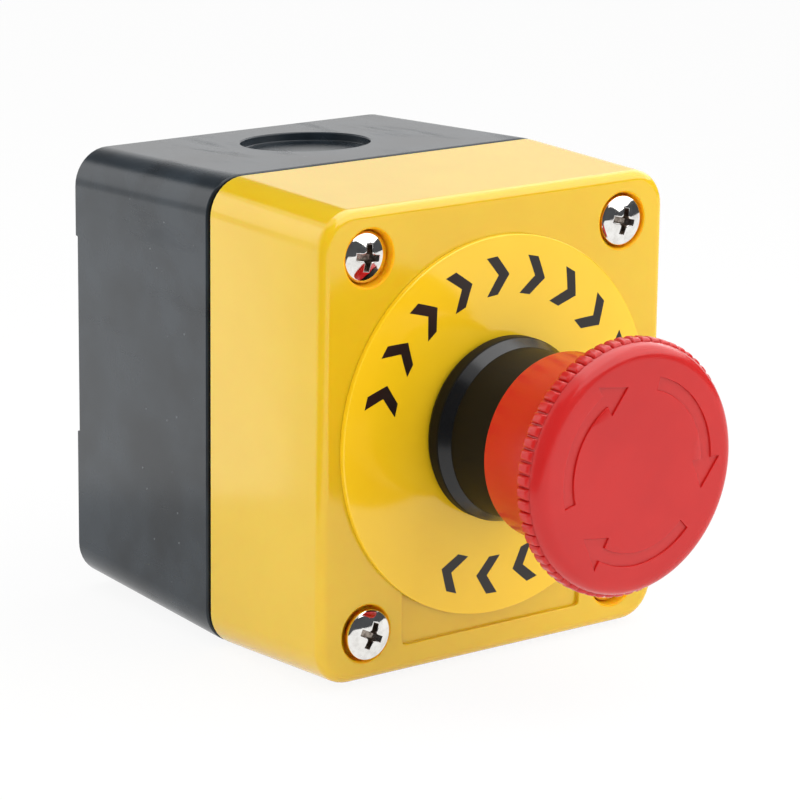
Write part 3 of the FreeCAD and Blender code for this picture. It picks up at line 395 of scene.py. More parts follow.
# tapered walls of the enclosure
def wallRings(shape, rows, stops=()):
    # each row is a depth and an inset; the outline runs straight from the back size to the front size
    rings = []
    for depth, inset in rows:
        share = (depth - shape["back"]) / (shape["front"] - shape["back"])
        size = (1 - share) * np.array(shape["backSize"]) + share * np.array(shape["frontSize"])
        ring = boxRing(*(size / 2 - inset), shape["corner"] - inset, stops=stops)
        rings.append(np.stack([ring[:, 0], np.full(len(ring), -depth), ring[:, 1]], 1))
    return np.stack(rings)


def edgeRows(depth, size, inwards, steps=6):
    # quarter round at an outer edge: from the flat of the end to the side wall
    turn = np.linspace(0, math.pi / 2, steps + 1)
    return np.stack([depth + inwards * size * (1 - np.cos(turn)), size * (1 - np.sin(turn))], 1)


def fourCorners(across, up):
    # places at half a width and half a height from the middle
    return [(x * across, z * up) for x in (-1, 1) for z in (-1, 1)]


screwPlaces = fourCorners(across=24.75, up=29.25)
rearBox = dict(back=0.0, front=39.3, backSize=(65.4, 71.8), frontSize=(67.8, 75.2), corner=6.0, wall=2.5,
               lip=0.4, reliefTop=21.8, reliefBottom=-10.8, reliefDepth=0.55, reliefSlope=0.12,
               mountAcross=17.0, mountUp=27.0, mountRadius=2.25, holeFacets=48,
               bossRadius=4.2, pilotRadius=2.0, pilotDepth=15.5, knockoutRadius=10.6, knockoutDepth=1.4,
               knockoutAt=18.4, knockoutLip=0.3, knockoutFillet=0.2, knockoutFacets=96)


def buildRearBox():
    # tapered walls round a floor, open to the front
    b = rearBox
    low, high = b["reliefBottom"], b["reliefTop"]
    stops = (low - b["reliefSlope"], low, high, high + b["reliefSlope"])
    rearEdge = edgeRows(0.0, b["lip"], 1)
    frontEdge = edgeRows(b["front"], b["lip"], -1)[::-1]
    outer = np.concatenate([rearEdge, frontEdge, [(b["front"], b["wall"])]])
    rings = wallRings(b, outer, stops)
    columns = rings.shape[1]
    sunk = [1, 2, columns // 2 + 1, columns // 2 + 2]  # the inner stops of the right and left sides
    rings[:len(rearEdge), sunk, 1] -= b["reliefDepth"]
    inside = wallRings(b, [(b["front"], b["wall"]), (b["wall"], b["wall"])], stops)

    # side walls, with the top and bottom flats left open for the knock-outs
    points, quads, paint = gridPatch(rings)
    band = len(rearEdge) - 1
    flats = [len(stops) + cornerSteps, columns // 2 + len(stops) + cornerSteps]
    sides = (points, np.delete(quads, [band * columns + k for k in flats], 0), paint)
    patches = [sides, gridPatch(inside)]

    # rear face with its shallow relief, mounting holes and the inner floor
    def rearLift(flat):
        half = b["reliefSlope"] / 2
        sunken = (flat[:, 1] > stops[0] + half) & (flat[:, 1] < stops[-1] - half)
        return np.stack([flat[:, 0], -b["reliefDepth"] * sunken, flat[:, 1]], 1)

    turns = evenTurns(b["holeFacets"])
    mounts = fourCorners(b["mountAcross"], b["mountUp"])
    lip = b["lip"]
    outline = rings[0][:, [0, 2]]
    # lines across the face join each stop on the right with its fellow on the left
    lines = [(k, columns // 2 + len(stops) - 1 - k) for k in range(len(stops))]
    rearLoops = [outline] + [roundLoop(b["mountRadius"] + lip, turns, c) for c in mounts]
    patches.append(loopPatch(rearLoops, rearLift, lines))
    floorLoops = [inside[1][:, [0, 2]]] + [roundLoop(b["mountRadius"], turns, c) for c in mounts]
    floorLoops += [roundLoop(b["bossRadius"], turns, c) for c in screwPlaces]
    patches.append(loopPatch(floorLoops, atDepth(b["wall"])))
    mountProfile = softProfile([(b["mountRadius"] + lip, 0, 0), (b["mountRadius"], 0, lip),
                                (b["mountRadius"], b["wall"], 0)])
    bossProfile = softProfile([(b["bossRadius"], b["wall"], 0), (b["bossRadius"], b["front"], 0),
                               (b["pilotRadius"], b["front"], 0),
                               (b["pilotRadius"], b["front"] - b["pilotDepth"], 0),
                               (0, b["front"] - b["pilotDepth"], 0)])
    patches += [turnedPatch(mountProfile, turns, c) for c in mounts]
    patches += [turnedPatch(bossProfile, turns, c) for c in screwPlaces]

    # knock-outs: a round recess square to the sloping wall, r cos a across and r sin a along the slope
    slope = (b["frontSize"][1] - b["backSize"][1]) / 2 / (b["front"] - b["back"])
    along = np.array([0, -1, slope]) / math.hypot(1, slope)
    outwards = np.array([0, slope, 1]) / math.hypot(1, slope)
    middle = np.array([0, -b["knockoutAt"], b["backSize"][1] / 2 + slope * b["knockoutAt"]])
    turns = evenTurns(b["knockoutFacets"])
    radius, drop = b["knockoutRadius"], b["knockoutDepth"]
    recess = softProfile([(radius + b["knockoutLip"], 0, 0), (radius, 0, b["knockoutLip"]),
                          (radius, drop, b["knockoutFillet"]), (0, drop, 0)])[:, :, None]
    around = np.cos(turns)[:, None] * np.array([1, 0, 0]) + np.sin(turns)[:, None] * along
    bowl = middle + recess[:, :1] * around[None] - recess[:, 1:] * outwards
    left, right = flats[0], flats[0] + 1
    edge = [rings[band, left], rings[band, right], rings[band + 1, right], rings[band + 1, left]]
    loops = [np.array(edge)[:, :2], bowl[0][:, :2]]

    def topLift(flat):
        return np.stack([flat[:, 0], flat[:, 1], b["backSize"][1] / 2 - slope * flat[:, 1]], 1)

    top = [loopPatch(loops, topLift), gridPatch(bowl)]
    bottom = [(patch[0] * (1, 1, -1), patch[1], patch[2]) for patch in top]
    patches += top + bottom
    return makePiece("rearBoxShell", patches, [blackPlastic], "enclosure", ["rear_box"])


frontCover = dict(back=40.1, front=68.6, backSize=(67.8, 75.2), frontSize=(67.0, 73.6), corner=6.0,
                  wall=2.5, lip=0.3, edge=1.5, edgeSteps=12,
                  wellRadius=4.5, wellFoot=4.08, wellDepth=2.4, wellLip=0.25, wellFillet=0.1,
                  holeRadius=2.25, postRadius=5.0, operatorRadius=11.25, holeFacets=64,
                  panelHalf=(17.8, 6.25), panelMiddle=-26.25, panelDepth=0.7, panelCorner=0.9,
                  panelLip=0.12, panelSteps=6)


def buildFrontCover():
    # tapered walls behind a face, open to the rear; the wells and their posts are turned profiles
    c = frontCover
    inner = c["front"] - c["wall"]
    outer = np.concatenate([[(c["back"], c["wall"])], edgeRows(c["back"], c["lip"], 1),
                            edgeRows(c["front"], c["edge"], -1, c["edgeSteps"])[::-1]])
    rings = wallRings(c, outer)
    inside = wallRings(c, [(c["back"], c["wall"]), (inner, c["wall"])])
    turns = evenTurns(c["holeFacets"])
    seat = c["front"] - c["wellDepth"]
    wellMouth = c["wellRadius"] + c["wellLip"]
    well = softProfile([(wellMouth, c["front"], 0), (c["wellRadius"], c["front"], c["wellLip"]),
                        (c["wellFoot"], seat, c["wellFillet"]), (c["holeRadius"], seat, 0),
                        (c["holeRadius"], c["back"], 0), (c["postRadius"], c["back"], 0),
                        (c["postRadius"], inner, 0)])
    operatorHole = np.array([(c["operatorRadius"], c["front"]), (c["operatorRadius"], inner)])

    # label panel: a rounded rectangle whose rim rolls down to a flat floor
    turn = np.linspace(0, math.pi / 2, c["panelSteps"])
    drops = np.append(c["panelLip"] * (1 - np.cos(turn)), c["panelDepth"])
    grows = np.append(c["panelLip"] * (1 - np.sin(turn)), 0)
    panel = []
    for drop, grow in zip(drops, grows):
        ring = boxRing(c["panelHalf"][0] + grow, c["panelHalf"][1] + grow, c["panelCorner"] + grow,
                       c["panelSteps"], centre=(0, c["panelMiddle"]))
        panel.append(np.stack([ring[:, 0], np.full(len(ring), drop - c["front"]), ring[:, 1]], 1))
    panel = np.stack(panel)

    faceLoops = [rings[-1][:, [0, 2]], panel[0][:, [0, 2]], roundLoop(c["operatorRadius"], turns)]
    faceLoops += [roundLoop(wellMouth, turns, w) for w in screwPlaces]
    backLoops = [inside[1][:, [0, 2]], roundLoop(c["operatorRadius"], turns)]
    backLoops += [roundLoop(c["postRadius"], turns, w) for w in screwPlaces]
    patches = [gridPatch(rings), gridPatch(inside), gridPatch(panel), turnedPatch(operatorHole, turns),
               loopPatch(faceLoops, atDepth(c["front"])), loopPatch(backLoops, atDepth(inner)),
               loopPatch([panel[-1][:, [0, 2]]], atDepth(c["front"] - c["panelDepth"]))]
    # the wells take the orange copy of the yellow, a painted glow inside them
    patches += [turnedPatch(well, turns, w, paint=1) for w in screwPlaces]
    return makePiece("frontCoverShell", patches, [yellowPlastic, wellPaintedGlow], "enclosure", ["front_cover"])


buildRearBox()
buildFrontCover()
print("enclosure built")


# legend plate and its printed marks
legend = dict(back=68.6, front=69.5, hole=11.25, radius=30.0, edge=0.25, backEdge=0.1, facets=224,
              markInner=20.85, markOuter=26.85, stroke=2.1, point=2.3, film=0.02, sink=0.01, markRows=17,
              topFirst=161.8, topCount=9, lowFirst=-112.0, lowCount=4, step=17.5)


def buildLegendPlate():
    # a closed profile with rounded outer edges, carried round the axis
    g = legend
    profile = softProfile([(g["hole"], g["back"], 0), (g["radius"], g["back"], g["backEdge"]),
                           (g["radius"], g["front"], g["edge"]), (g["hole"], g["front"], 0)])
    profile = np.concatenate([profile, profile[:1]])
    disc = turnedPatch(profile, evenTurns(g["facets"]))
    return makePiece("legendDisc", [disc], [legendYellow], "enclosure", ["legend_plate"])


def buildLegendMarks():
    # chevrons that point clockwise: along v from the inner to the outer radius, a stroke's lead is largest
    # half way; the section goes round the stroke's four corners
    g = legend
    v = np.linspace(-1, 1, g["markRows"])
    radius = (g["markInner"] + g["markOuter"]) / 2 + v * (g["markOuter"] - g["markInner"]) / 2
    lead = g["point"] * (1 - np.abs(v))
    tops = -np.arange(g["topCount"]) * g["step"] + g["topFirst"]
    lows = np.arange(g["lowCount"]) * g["step"] + g["lowFirst"]
    shift = np.array([0, 0, 1, 1])[:, None] * g["stroke"] - g["stroke"] / 2 - g["point"] / 2
    depth = g["front"] + np.array([-g["sink"], g["film"], g["film"], -g["sink"]])[:, None] + 0 * v
    ends = np.arange(4) + np.array([[0], [4 * (g["markRows"] - 1)]])
    patches = []
    for angle in np.radians(np.concatenate([tops, lows])):
        turn = angle - (lead + shift) / radius
        block = np.stack([radius * np.cos(turn), -depth, radius * np.sin(turn)], -1).transpose(1, 0, 2)
        patches.append(gridPatch(block))
        patches.append((block.reshape(-1, 3), ends, 0))
    return makePiece("legendMarks", patches, [legendInk], "enclosure", [])


buildLegendPlate()
buildLegendMarks()
print("legend built")


# operator body: barrel, bezel and sleeve
operator = dict(guide=4.06, barrel=10.9, barrelEnd=50.0, barrelSoft=0.8, sealTop=70.7, sealBore=13.45,
                bezelBack=69.5, bezelFoot=13.9, footSoft=0.1, reliefFront=70.5, reliefSoft=0.15,
                bezelRadius=14.5, bezelFront=72.3, bezelSoft=0.25,
                sleeveRadius=13.25, sleeveBack=74.4, sleeveFoot=0.1, sleeveFront=92.6, sleeveSoft=0.4,
                grooveBack=86.0, grooveFront=87.4, grooveFloor=12.35,
                chamber=8.2, chamberBack=62.0, chamberSoft=0.2,
                threadTop=66.0, threadPitch=1.5, threadDepth=0.35, threadEnd=1.0, facets=192)


def buildOperator():
    # one closed profile carried round the axis; the thread is a row of plain ridges
    o = operator
    crests = np.arange(o["barrelEnd"] + o["threadPitch"], o["threadTop"], o["threadPitch"])
    thread = np.stack([crests, crests + o["threadPitch"] / 2], 1).reshape(-1)
    ridge = np.tile([o["barrel"], o["barrel"] - o["threadDepth"]], len(crests))
    ridges = np.stack([ridge, thread, 0 * thread], 1).tolist()
    shoulder = (o["bezelRadius"], o["bezelFront"], o["bezelSoft"])
    corners = [(o["guide"], o["barrelEnd"], 0), (o["barrel"], o["barrelEnd"], o["barrelSoft"]), *ridges,
               (o["barrel"], o["threadTop"] + o["threadEnd"], 0), (o["barrel"], o["sealTop"], 0),
               (o["sealBore"], o["sealTop"], 0), (o["sealBore"], o["bezelBack"], 0),
               (o["bezelFoot"], o["bezelBack"], o["footSoft"]),
               (o["bezelRadius"], o["reliefFront"], o["reliefSoft"]),
               shoulder, (o["sleeveRadius"], o["sleeveBack"], o["sleeveFoot"]),
               (o["sleeveRadius"], o["grooveBack"], 0), (o["grooveFloor"], o["grooveBack"], 0),
               (o["grooveFloor"], o["grooveFront"], 0), (o["sleeveRadius"], o["grooveFront"], 0),
               (o["sleeveRadius"], o["sleeveFront"], o["sleeveSoft"]),
               (o["chamber"], o["sleeveFront"], o["chamberSoft"]),
               (o["chamber"], o["chamberBack"], 0), (o["guide"], o["chamberBack"], 0),
               (o["guide"], o["barrelEnd"], 0)]
    profile = softProfile(corners)
    # the chamfer from the shoulder to the sleeve is polished, and the rest is satin
    perCorner = len(profile) // len(corners)
    last = (corners.index(shoulder) + 1) * perCorner
    first = last - 1
    turns = evenTurns(o["facets"])
    patches = [turnedPatch(profile[:first + 1], turns),
               turnedPatch(profile[first:last + 1], turns, paint=1),
               turnedPatch(profile[last:], turns)]
    return makePiece("operatorSleeve", patches, [sleeveBlack, bezelBlack], "enclosure", ["operator_body"])


buildOperator()
print("operator built")


# mushroom head
head = dict(skirtBack=83.8, skirtInner=13.55, skirtRadius=14.6, skirtSoft=0.3, flareRadius=15.2,
            neckReach=2.2, skirtSteps=8, rimSteps=14, shoulderPoints=9, endPoints=6,
            rimBack=97.5, rimFront=100.1, knurlRadius=19.75, gapRadius=19.1, rimRadius=19.2, rimDraft=0.4,
            rimReach=1.95, rimEnd=16.6, top=102.1, teeth=64, toothHalf=0.88, toothSoft=0.5, toothEnd=0.6,
            crownBack=98.2, hubRadius=5.2, hubBack=86.4, bore=3.26, boreEnd=97.0,
            grooveRadius=4.5, grooveBack=88.95, grooveFront=89.85,
            arrowTurns=(0, 120, 240), arrowDepth=0.3, arrowMean=13.4, arrowBand=1.0, arrowWing=2.7,
            arrowTail=74.5, arrowTip=19.7, arrowSoft=0.09, arrowLip=0.027, arrowPoints=40, wingGrow=1.7,
            tipGrow=2.0)


def arrowLoop(h, grow, turn):
    # curved band from the tail to the wings, then the point; grow moves every side outwards
    count = h["arrowPoints"]
    band = h["arrowBand"] + grow
    wing = h["arrowWing"] + h["wingGrow"] * grow
    tail = math.radians(h["arrowTail"]) + grow / h["arrowMean"]
    base = grow / h["arrowMean"]
    tip = -math.radians(h["arrowTip"]) - h["tipGrow"] * grow / h["arrowMean"]
    sweep = np.linspace(tail, base, count)
    angle = np.concatenate([sweep, [base, tip, base], sweep[::-1]])
    offset = np.concatenate([np.full(count, band), [wing, 0, -wing], np.full(count, -band)])
    radius = h["arrowMean"] + offset
    return np.stack([radius * np.cos(angle + turn), radius * np.sin(angle + turn)], 1)


def buildHead():
    h = head
    # a profile carried round the axis, pushed outwards at the knurl by its height times the tooth's share;
    # phase goes over one pitch with the tooth in its middle, and a tooth's shoulder is a quarter round
    # that leans in by 1 - cos s while it rises by sin s
    pitch = 2 * math.pi * h["knurlRadius"] / h["teeth"]
    s = np.linspace(0, math.pi / 2, h["shoulderPoints"])
    shoulder = 0.5 - (h["toothHalf"] - h["toothSoft"] * (1 - np.cos(s))) / pitch
    phase = np.concatenate([[0], shoulder, [0.5], 1 - shoulder[::-1]])
    turns = ((np.arange(h["teeth"])[:, None] + phase) / h["teeth"]).reshape(-1) * 2 * math.pi
    tooth = np.tile(np.concatenate([[0], np.sin(s), [1], np.sin(s)[::-1]]), h["teeth"])

    skirt = softProfile([(h["skirtInner"], h["skirtBack"], 0),
                         (h["skirtRadius"], h["skirtBack"], h["skirtSoft"]),
                         (h["flareRadius"], h["rimBack"], h["neckReach"]),
                         (h["gapRadius"], h["rimBack"], 0)], h["skirtSteps"])
    rise = np.linspace(0, math.pi / 2, h["endPoints"])
    endDepth = h["toothEnd"] * (1 - np.cos(rise))
    lift = np.sin(rise)
    teethDepth = np.concatenate([h["rimBack"] + endDepth, h["rimFront"] - endDepth[::-1]])
    teethLift = np.concatenate([lift, lift[::-1]])
    rim = softProfile([(h["gapRadius"], h["rimFront"], 0), (h["rimRadius"], h["rimFront"], 0),
                       (h["rimRadius"] - h["rimDraft"], h["top"], h["rimReach"]),
                       (h["rimEnd"], h["top"], 0)], h["rimSteps"])
    band = np.stack([0 * teethDepth + h["gapRadius"], teethDepth], 1)
    rows = turnedPoints(np.concatenate([skirt, band, rim]), turns)
    push = np.concatenate([np.zeros(len(skirt)), teethLift, np.zeros(len(rim))])
    push = push[:, None] * tooth * (h["knurlRadius"] - h["gapRadius"])
    rows[..., 0] += push * np.cos(turns)
    rows[..., 2] += push * np.sin(turns)

    inner = softProfile([(h["skirtInner"], h["skirtBack"], 0), (h["skirtInner"], h["crownBack"], 0),
                         (h["hubRadius"], h["crownBack"], 0), (h["hubRadius"], h["hubBack"], 0),
                         (h["bore"], h["hubBack"], 0), (h["bore"], h["grooveBack"], 0),
                         (h["grooveRadius"], h["grooveBack"], 0), (h["grooveRadius"], h["grooveFront"], 0),
                         (h["bore"], h["grooveFront"], 0), (h["bore"], h["boreEnd"], 0),
                         (0, h["boreEnd"], 0)], steps=1)

    # face with three engraved arrows: soft lip, wall, and a frosted floor
    patches = [gridPatch(rows), turnedPatch(inner, turns)]
    faceLoops = [rows[-1][:, [0, 2]]]
    for turn in np.radians(h["arrowTurns"]):
        loops = [arrowLoop(h, grow, turn) for grow in (h["arrowSoft"], h["arrowLip"], 0, 0)]
        drops = [0, h["arrowLip"], h["arrowSoft"], h["arrowDepth"]]
        faceLoops.append(loops[0])
        walls = np.stack([atDepth(h["top"] - drop)(loop) for loop, drop in zip(loops, drops)])
        patches.append(gridPatch(walls))
        patches.append(loopPatch([loops[-1]], atDepth(h["top"] - h["arrowDepth"]), paint=1))
    patches.append(loopPatch(faceLoops, atDepth(h["top"])))
    return makePiece("mushroomHead", patches, [redPlastic, redFrosted], "head", ["mushroom_head"])


buildHead()
print("head built")


# cover screws
coverScrew = dict(tip=26.3, tipRadius=1.17, tipLength=2.0, seat=66.2, seatSoft=0.1, shank=1.95,
                  headRadius=3.95, side=0.95, dome=0.88, roll=0.15, rollPower=30, facets=72,
                  armHalf=0.5, armReach=2.1, armFillet=0.5, filletPoints=6, armSoft=0.07, armLip=0.021,
                  lipDrop=0.028, crossDrop=1.5, floorShare=0.55, armTaper=0.55,
                  dotRings=26, dotStart=0.1, dotGap=0.06,
                  turnsAndLifts=((-25.0, 2.3), (-9.0, 0.5), (31.0, 0.4), (-14.0, 1.4)))


def crossLoop(s, grow, share, turn):
    # four arms with filleted inner corners; each quarter is one arm's end and the fillet after it
    half = (s["armHalf"] + grow) * (s["armTaper"] + (1 - s["armTaper"]) * share)
    reach = (s["armReach"] + grow) * share
    sweep = np.linspace(0, math.pi / 2, s["filletPoints"])
    fillet = s["armFillet"] * share
    quarter = np.stack([np.append([reach, reach], half + fillet * (1 - np.sin(sweep))),
                        np.append([-half, half], half + fillet * (1 - np.cos(sweep)))], 1)
    angle = math.radians(turn) + np.arange(4)[:, None] * math.pi / 2
    x = quarter[:, 0] * np.cos(angle) - quarter[:, 1] * np.sin(angle)
    z = quarter[:, 0] * np.sin(angle) + quarter[:, 1] * np.cos(angle)
    return np.stack([x.reshape(-1), z.reshape(-1)], 1)


def onDome(s, flat, drop=0.0):
    # shallow dome that falls with the square of the radius and rolls off close to its edge
    share = np.hypot(flat[:, 0], flat[:, 1]) / s["headRadius"]
    crown = s["dome"] * (1 - share ** 2) - s["roll"] * share ** s["rollPower"]
    depth = s["seat"] + s["side"] + crown - drop
    return np.stack([flat[:, 0], -depth, flat[:, 1]], 1)


def buildScrews():
    # each screw stands at its own turn and height, as they were driven in
    s = coverScrew
    turns = evenTurns(s["facets"])
    edge = s["seat"] + s["side"] - s["roll"]
    shank = softProfile([(0, s["tip"], 0), (s["tipRadius"], s["tip"], 0),
                         (s["shank"], s["tip"] + s["tipLength"], 0), (s["shank"], s["seat"], 0),
                         (s["headRadius"], s["seat"], s["seatSoft"]), (s["headRadius"], edge, 0)])
    # rings of dots on the dome lie closer together towards its edge, as the sine of an even angle
    radii = s["headRadius"] * np.sin(np.linspace(s["dotStart"], 0.5, s["dotRings"]) * math.pi)[:-1]
    rings = np.concatenate([roundLoop(r, turns) for r in radii])
    level = s["seat"] + s["side"] + s["dome"] - s["crossDrop"]
    patches = []
    for (x, z), (turn, lift) in zip(screwPlaces, s["turnsAndLifts"]):
        loops = [crossLoop(s, grow, share, turn) for grow, share in
                 ((s["armSoft"], 1), (s["armLip"], 1), (0, 1), (0, s["floorShare"]))]
        dots = rings[~oddInside(rings, [crossLoop(s, s["armSoft"] + s["dotGap"], 1, turn)])]
        crown = loopPatch([roundLoop(s["headRadius"], turns), loops[0]], lambda flat: onDome(s, flat),
                          dots=[dots])
        lipRows = [onDome(s, loop, drop) for loop, drop in zip(loops, (0, s["lipDrop"], s["armSoft"]))]
        floorRow = atDepth(level)(loops[3])
        # the walls and floor of the cross take the darker metal, painted shade in the recess
        made = [crown, gridPatch(np.stack(lipRows)), gridPatch(np.stack([lipRows[2], floorRow]), paint=1),
                loopPatch([loops[3]], atDepth(level), paint=1), turnedPatch(shank, turns)]
        patches += [(points + (x, -lift, z), faces, paint) for points, faces, paint in made]
    return makePiece("coverScrews", patches, [screwPlate, screwRecessShade], "enclosure", ["cover_screws"],
                     sharp=50)


buildScrews()
print("screws built")


# springs: keep is the share of the length that is left at the joint's upper limit
springs = {
    "return_spring": dict(back=62.1, front=83.9, radius=5.6, wire=0.55, turns=6.0,
                          joint="head_press", keep=0.773),
    "contact_spring": dict(back=22.1, front=29.3, radius=2.3, wire=0.3, turns=4.0,
                           joint="contact_open", keep=0.3),
}
springGrid = dict(perTurn=48, around=12)


def buildSpring(node, c):
    # round wire carried along an even helix and closed by a flat cap at each end
    facets = springGrid["around"]
    t = np.linspace(0, 1, int(c["turns"] * springGrid["perTurn"]))
    angle = 2 * math.pi * c["turns"] * t
    depth = c["back"] + c["wire"] + (c["front"] - c["back"] - 2 * c["wire"]) * t
    around = evenTurns(facets)[None, :]
    reach = c["radius"] + c["wire"] * np.cos(around)
    rows = np.stack([reach * np.cos(angle)[:, None], -(depth[:, None] + c["wire"] * np.sin(around)),
                     reach * np.sin(angle)[:, None]], -1)
    cap = np.arange(facets)
    ends = (rows.reshape(-1, 3), np.stack([cap, cap + (len(t) - 1) * facets]), 0)
    piece = makePiece(node + "Wire", [gridPatch(rows), ends], [springSteel], "enclosure", [node],
                      sharp=60)
    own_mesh(piece)


for springNode, springSizes in springs.items():
    buildSpring(springNode, springSizes)
print("springs built")


# finishes of the CAD nodes that stay
nodeFinish = {
    "cover_seal": sealRubber, "panel_seal": sealRubber, "skirt_seal": sealRubber,
    "lock_nut": bezelBlack, "lock_washer": springSteel, "head_clip": springSteel, "latch_pins": screwPlate,
    "plunger_stem": mechanismWhite, "release_cam": mechanismWhite, "contact_pusher": mechanismWhite,
    "spring_seat": mechanismWhite, "contact_holder": bezelBlack, "holder_screws": screwPlate,
    "contact_housing": contactRed, "housing_cover": contactRed, "terminal_screws": screwPlate,
    "terminal_clamps": contactBrass, "fixed_contacts": contactBrass, "contact_bridge": contactBrass,
    "fixed_tips": contactSilver, "moving_tips": contactSilver,
}
for nodeName, finish in nodeFinish.items():
    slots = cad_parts[nodeName].data.materials
    slots.clear()
    slots.append(finish)
print("carried nodes finished")


# studio: pale floor, white surroundings and soft boxes
studio = dict(floorLevel=-37.62, floorSize=3.0, floorColours=(srgb(249, 249, 248), srgb(252, 252, 251)),
              floorScale=9.0, floorRough=0.7, floorGlow=0.9, surround=0.7, backdrop=1.0,
              clothColours=(srgb(70, 72, 76), srgb(76, 78, 82)), clothScale=30.0, clothRough=0.9,
              frontCard=dict(radius=0.65, turns=(-185, 10), top=0.9, lift=0.001, columns=49),
              ceiling=dict(x=(-0.42, 1.75), y=(0.5, 2.5), level=1.0, fade=(1.8, 2.5)),
              leftCard=dict(x=(-1.2, -0.125), y=(-0.9, -0.02), lift=0.0005),
              boxes=(dict(name="overBox", place=(0.08, -0.195, 0.168), facing=(-0.534, 0, -0.845),
                          size=(0.55, 0.33), power=1.25, roll=0, lights=False, shines=True),
                     dict(name="sideBox", place=(0.18, -0.19, 0.21), facing=(-0.17, 0.1, -0.2),
                          size=(0.36, 0.36), power=0.7, roll=0, lights=True, shines=False),
                     dict(name="topBox", place=(-0.12, 0.02, 0.62), facing=(0.12, -0.05, -0.62),
                          size=(0.45, 0.45), power=0.72, roll=0, lights=True, shines=False),
                     dict(name="leftBox", place=(-0.9, -0.3, 0.4), facing=(0.9, 0.3, -0.4),
                          size=(0.7, 0.7), power=2.6, roll=0, lights=True, shines=False),
                     dict(name="frontBox", place=(0.4, -1.05, 0.1), facing=(-0.4, 1.05, -0.1),
                          size=(0.6, 0.6), power=1.3, roll=0, lights=True, shines=False),
                     dict(name="backBox", place=(-0.44, 0.8, 0.33), facing=(0.44, -0.8, -0.33),
                          size=(0.52, 0.52), power=0.8, roll=0, lights=True, shines=True),
                     dict(name="floorBox", place=(-0.052, 0.297, -0.036), facing=(0, 0, 1),
                          size=(0.4, 0.4), power=0.38, roll=-36.4, lights=True, shines=True)))


def seenDirectly(tree):
    # 1 for rays from the camera, in reflections and through glass
    path = tree.nodes.new("ShaderNodeLightPath")
    names = ("Is Camera Ray", "Is Glossy Ray", "Is Transmission Ray")
    camera, gloss, clear = (Sock(tree, path.outputs[name]) for name in names)
    return (camera + gloss + clear).between(0.0, 1.0)


def stageSheet(name, points):
    # sheet of the studio: rows x columns x 3 points in metres
    places, quads, _ = gridPatch(points, closed=False)
    mesh = bpy.data.meshes.new(name)
    mesh.from_pydata(places.tolist(), [], quads.tolist())
    sheet = bpy.data.objects.new(name, mesh)
    bpy.context.collection.objects.link(sheet)
    return sheet


def flatSheet(name, across, along, level):
    # level rectangle between two values of x and two of y
    x, y = np.meshgrid(across, along)
    return stageSheet(name, np.stack([x, y, np.full_like(x, level)], -1))


def buildFloor():
    # what is seen of the floor is mostly its own glow, and the rest takes the object's shadow
    t = studio
    span = (-t["floorSize"] / 2, t["floorSize"] / 2)
    floor = flatSheet("floor", span, span, t["floorLevel"] * mm)
    material, shader, place = startMaterial("paleFloor")
    tree = material.node_tree
    mottle = place.noise(t["floorScale"], detail=3.0)
    feed(tree, shader.inputs["Base Color"], mottle.tint(*t["floorColours"]))
    shader.inputs["Roughness"].default_value = t["floorRough"]
    glow = tree.nodes.new("ShaderNodeEmission")
    mix = tree.nodes.new("ShaderNodeMixShader")
    feed(tree, mix.inputs[0], seenDirectly(tree) * t["floorGlow"])
    tree.links.new(shader.outputs[0], mix.inputs[1])
    tree.links.new(glow.outputs[0], mix.inputs[2])
    tree.links.new(mix.outputs[0], tree.nodes["Material Output"].inputs[0])
    floor.data.materials.append(material)


def buildCards():
    # dark cloth in front, above and at the left on the floor, seen only in the gloss of the object
    t = studio
    card, ceiling, mat = t["frontCard"], t["ceiling"], t["leftCard"]
    ground = t["floorLevel"] * mm
    turns = np.radians(np.linspace(*card["turns"], card["columns"]))
    heights = np.array([ground + card["lift"], card["top"]])[:, None]
    x, y = (card["radius"] * wave(turns) + 0 * heights for wave in (np.cos, np.sin))
    curve = np.stack([x, y, heights + 0 * turns], -1)
    above = flatSheet("ceilingCard", ceiling["x"], ceiling["y"], ceiling["level"])
    beside = flatSheet("leftCard", mat["x"], mat["y"], ground + mat["lift"])
    for sheet in (stageSheet("frontCard", curve), above, beside):
        material, shader, place = startMaterial(sheet.name + "Cloth")
        cloth = place.noise(t["clothScale"]).tint(*t["clothColours"])
        feed(material.node_tree, shader.inputs["Base Color"], cloth)
        shader.inputs["Roughness"].default_value = t["clothRough"]
        if sheet == above:
            # the ceiling fades out towards the rear
            rearwards = place.add("ShaderNodeSeparateXYZ", {}, {0: place}, 1)
            feed(material.node_tree, shader.inputs["Alpha"], 1 - rearwards.between(*ceiling["fade"]))
        sheet.data.materials.append(material)
        sheet.visible_camera = False
        sheet.visible_diffuse = False
        sheet.visible_shadow = False


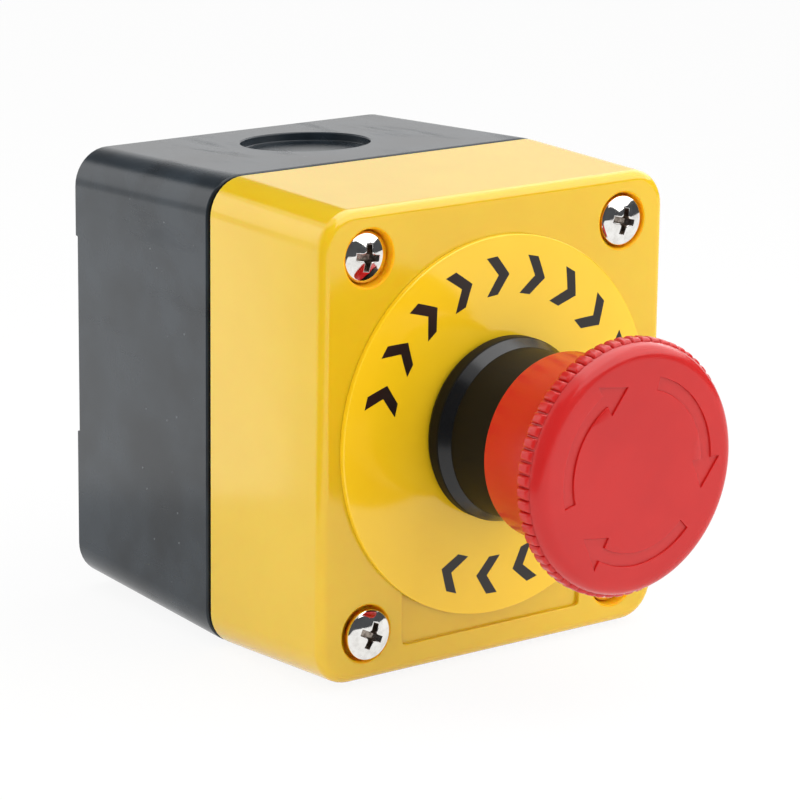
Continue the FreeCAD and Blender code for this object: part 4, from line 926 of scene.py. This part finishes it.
def buildLight():
    # white surroundings and soft boxes; a box lights the object, shows in its gloss, or does both
    t = studio
    world = bpy.data.worlds.new("whiteStudio")
    bpy.context.scene.world = world
    world.use_nodes = True
    tree = world.node_tree
    background = tree.nodes["Background"]
    background.inputs[0].default_value = (1, 1, 1, 1)
    feed(tree, background.inputs[1], t["surround"] + seenDirectly(tree) * (t["backdrop"] - t["surround"]))
    for box in t["boxes"]:
        lamp = bpy.data.lights.new(box["name"], "AREA")
        lamp.shape = "RECTANGLE"
        lamp.size, lamp.size_y = box["size"]
        lamp.energy = box["power"]
        holder = bpy.data.objects.new(box["name"], lamp)
        bpy.context.collection.objects.link(holder)
        holder.visible_camera = False
        holder.visible_diffuse = box["lights"]
        holder.visible_glossy = box["shines"]
        roll = Quaternion((0, 0, 1), math.radians(box["roll"]))
        turn = Vector(box["facing"]).to_track_quat("-Z", "Y") @ roll
        holder.matrix_world = Matrix.Translation(box["place"]) @ turn.to_matrix().to_4x4()


photoCamera = dict(target=(11.1, -30.0, -5.85), azimuth=-37.69, elevation=14.38, roll=0.67, distance=608.87,
                   focal=166.36, sensor=36.0, clip=(0.05, 20.0))


def buildCamera():
    # on a sphere round the target, at an azimuth and an elevation, and rolled about its own view
    p = photoCamera
    turn, rise, roll = (math.radians(p[k]) for k in ("azimuth", "elevation", "roll"))
    back = np.array([math.sin(turn) * math.cos(rise), -math.cos(turn) * math.cos(rise), math.sin(rise)])
    level = np.array([math.cos(turn), math.sin(turn), 0])
    above = np.cross(back, level)
    right = math.cos(roll) * level + math.sin(roll) * above
    up = np.cross(back, right)
    place = (np.array(p["target"]) + p["distance"] * back) * mm
    lens = bpy.data.cameras.new("photoCamera")
    lens.sensor_width = p["sensor"]
    lens.lens = p["focal"]
    lens.clip_start, lens.clip_end = p["clip"]
    camera = bpy.data.objects.new("photoCamera", lens)
    bpy.context.collection.objects.link(camera)
    camera.matrix_world = Matrix(np.vstack([np.stack([right, up, back, place], 1), (0, 0, 0, 1)]).tolist())
    bpy.context.scene.camera = camera


buildFloor()
buildCards()
buildLight()
buildCamera()
bpy.context.scene.view_settings.view_transform = "Standard"
print("studio and camera set")
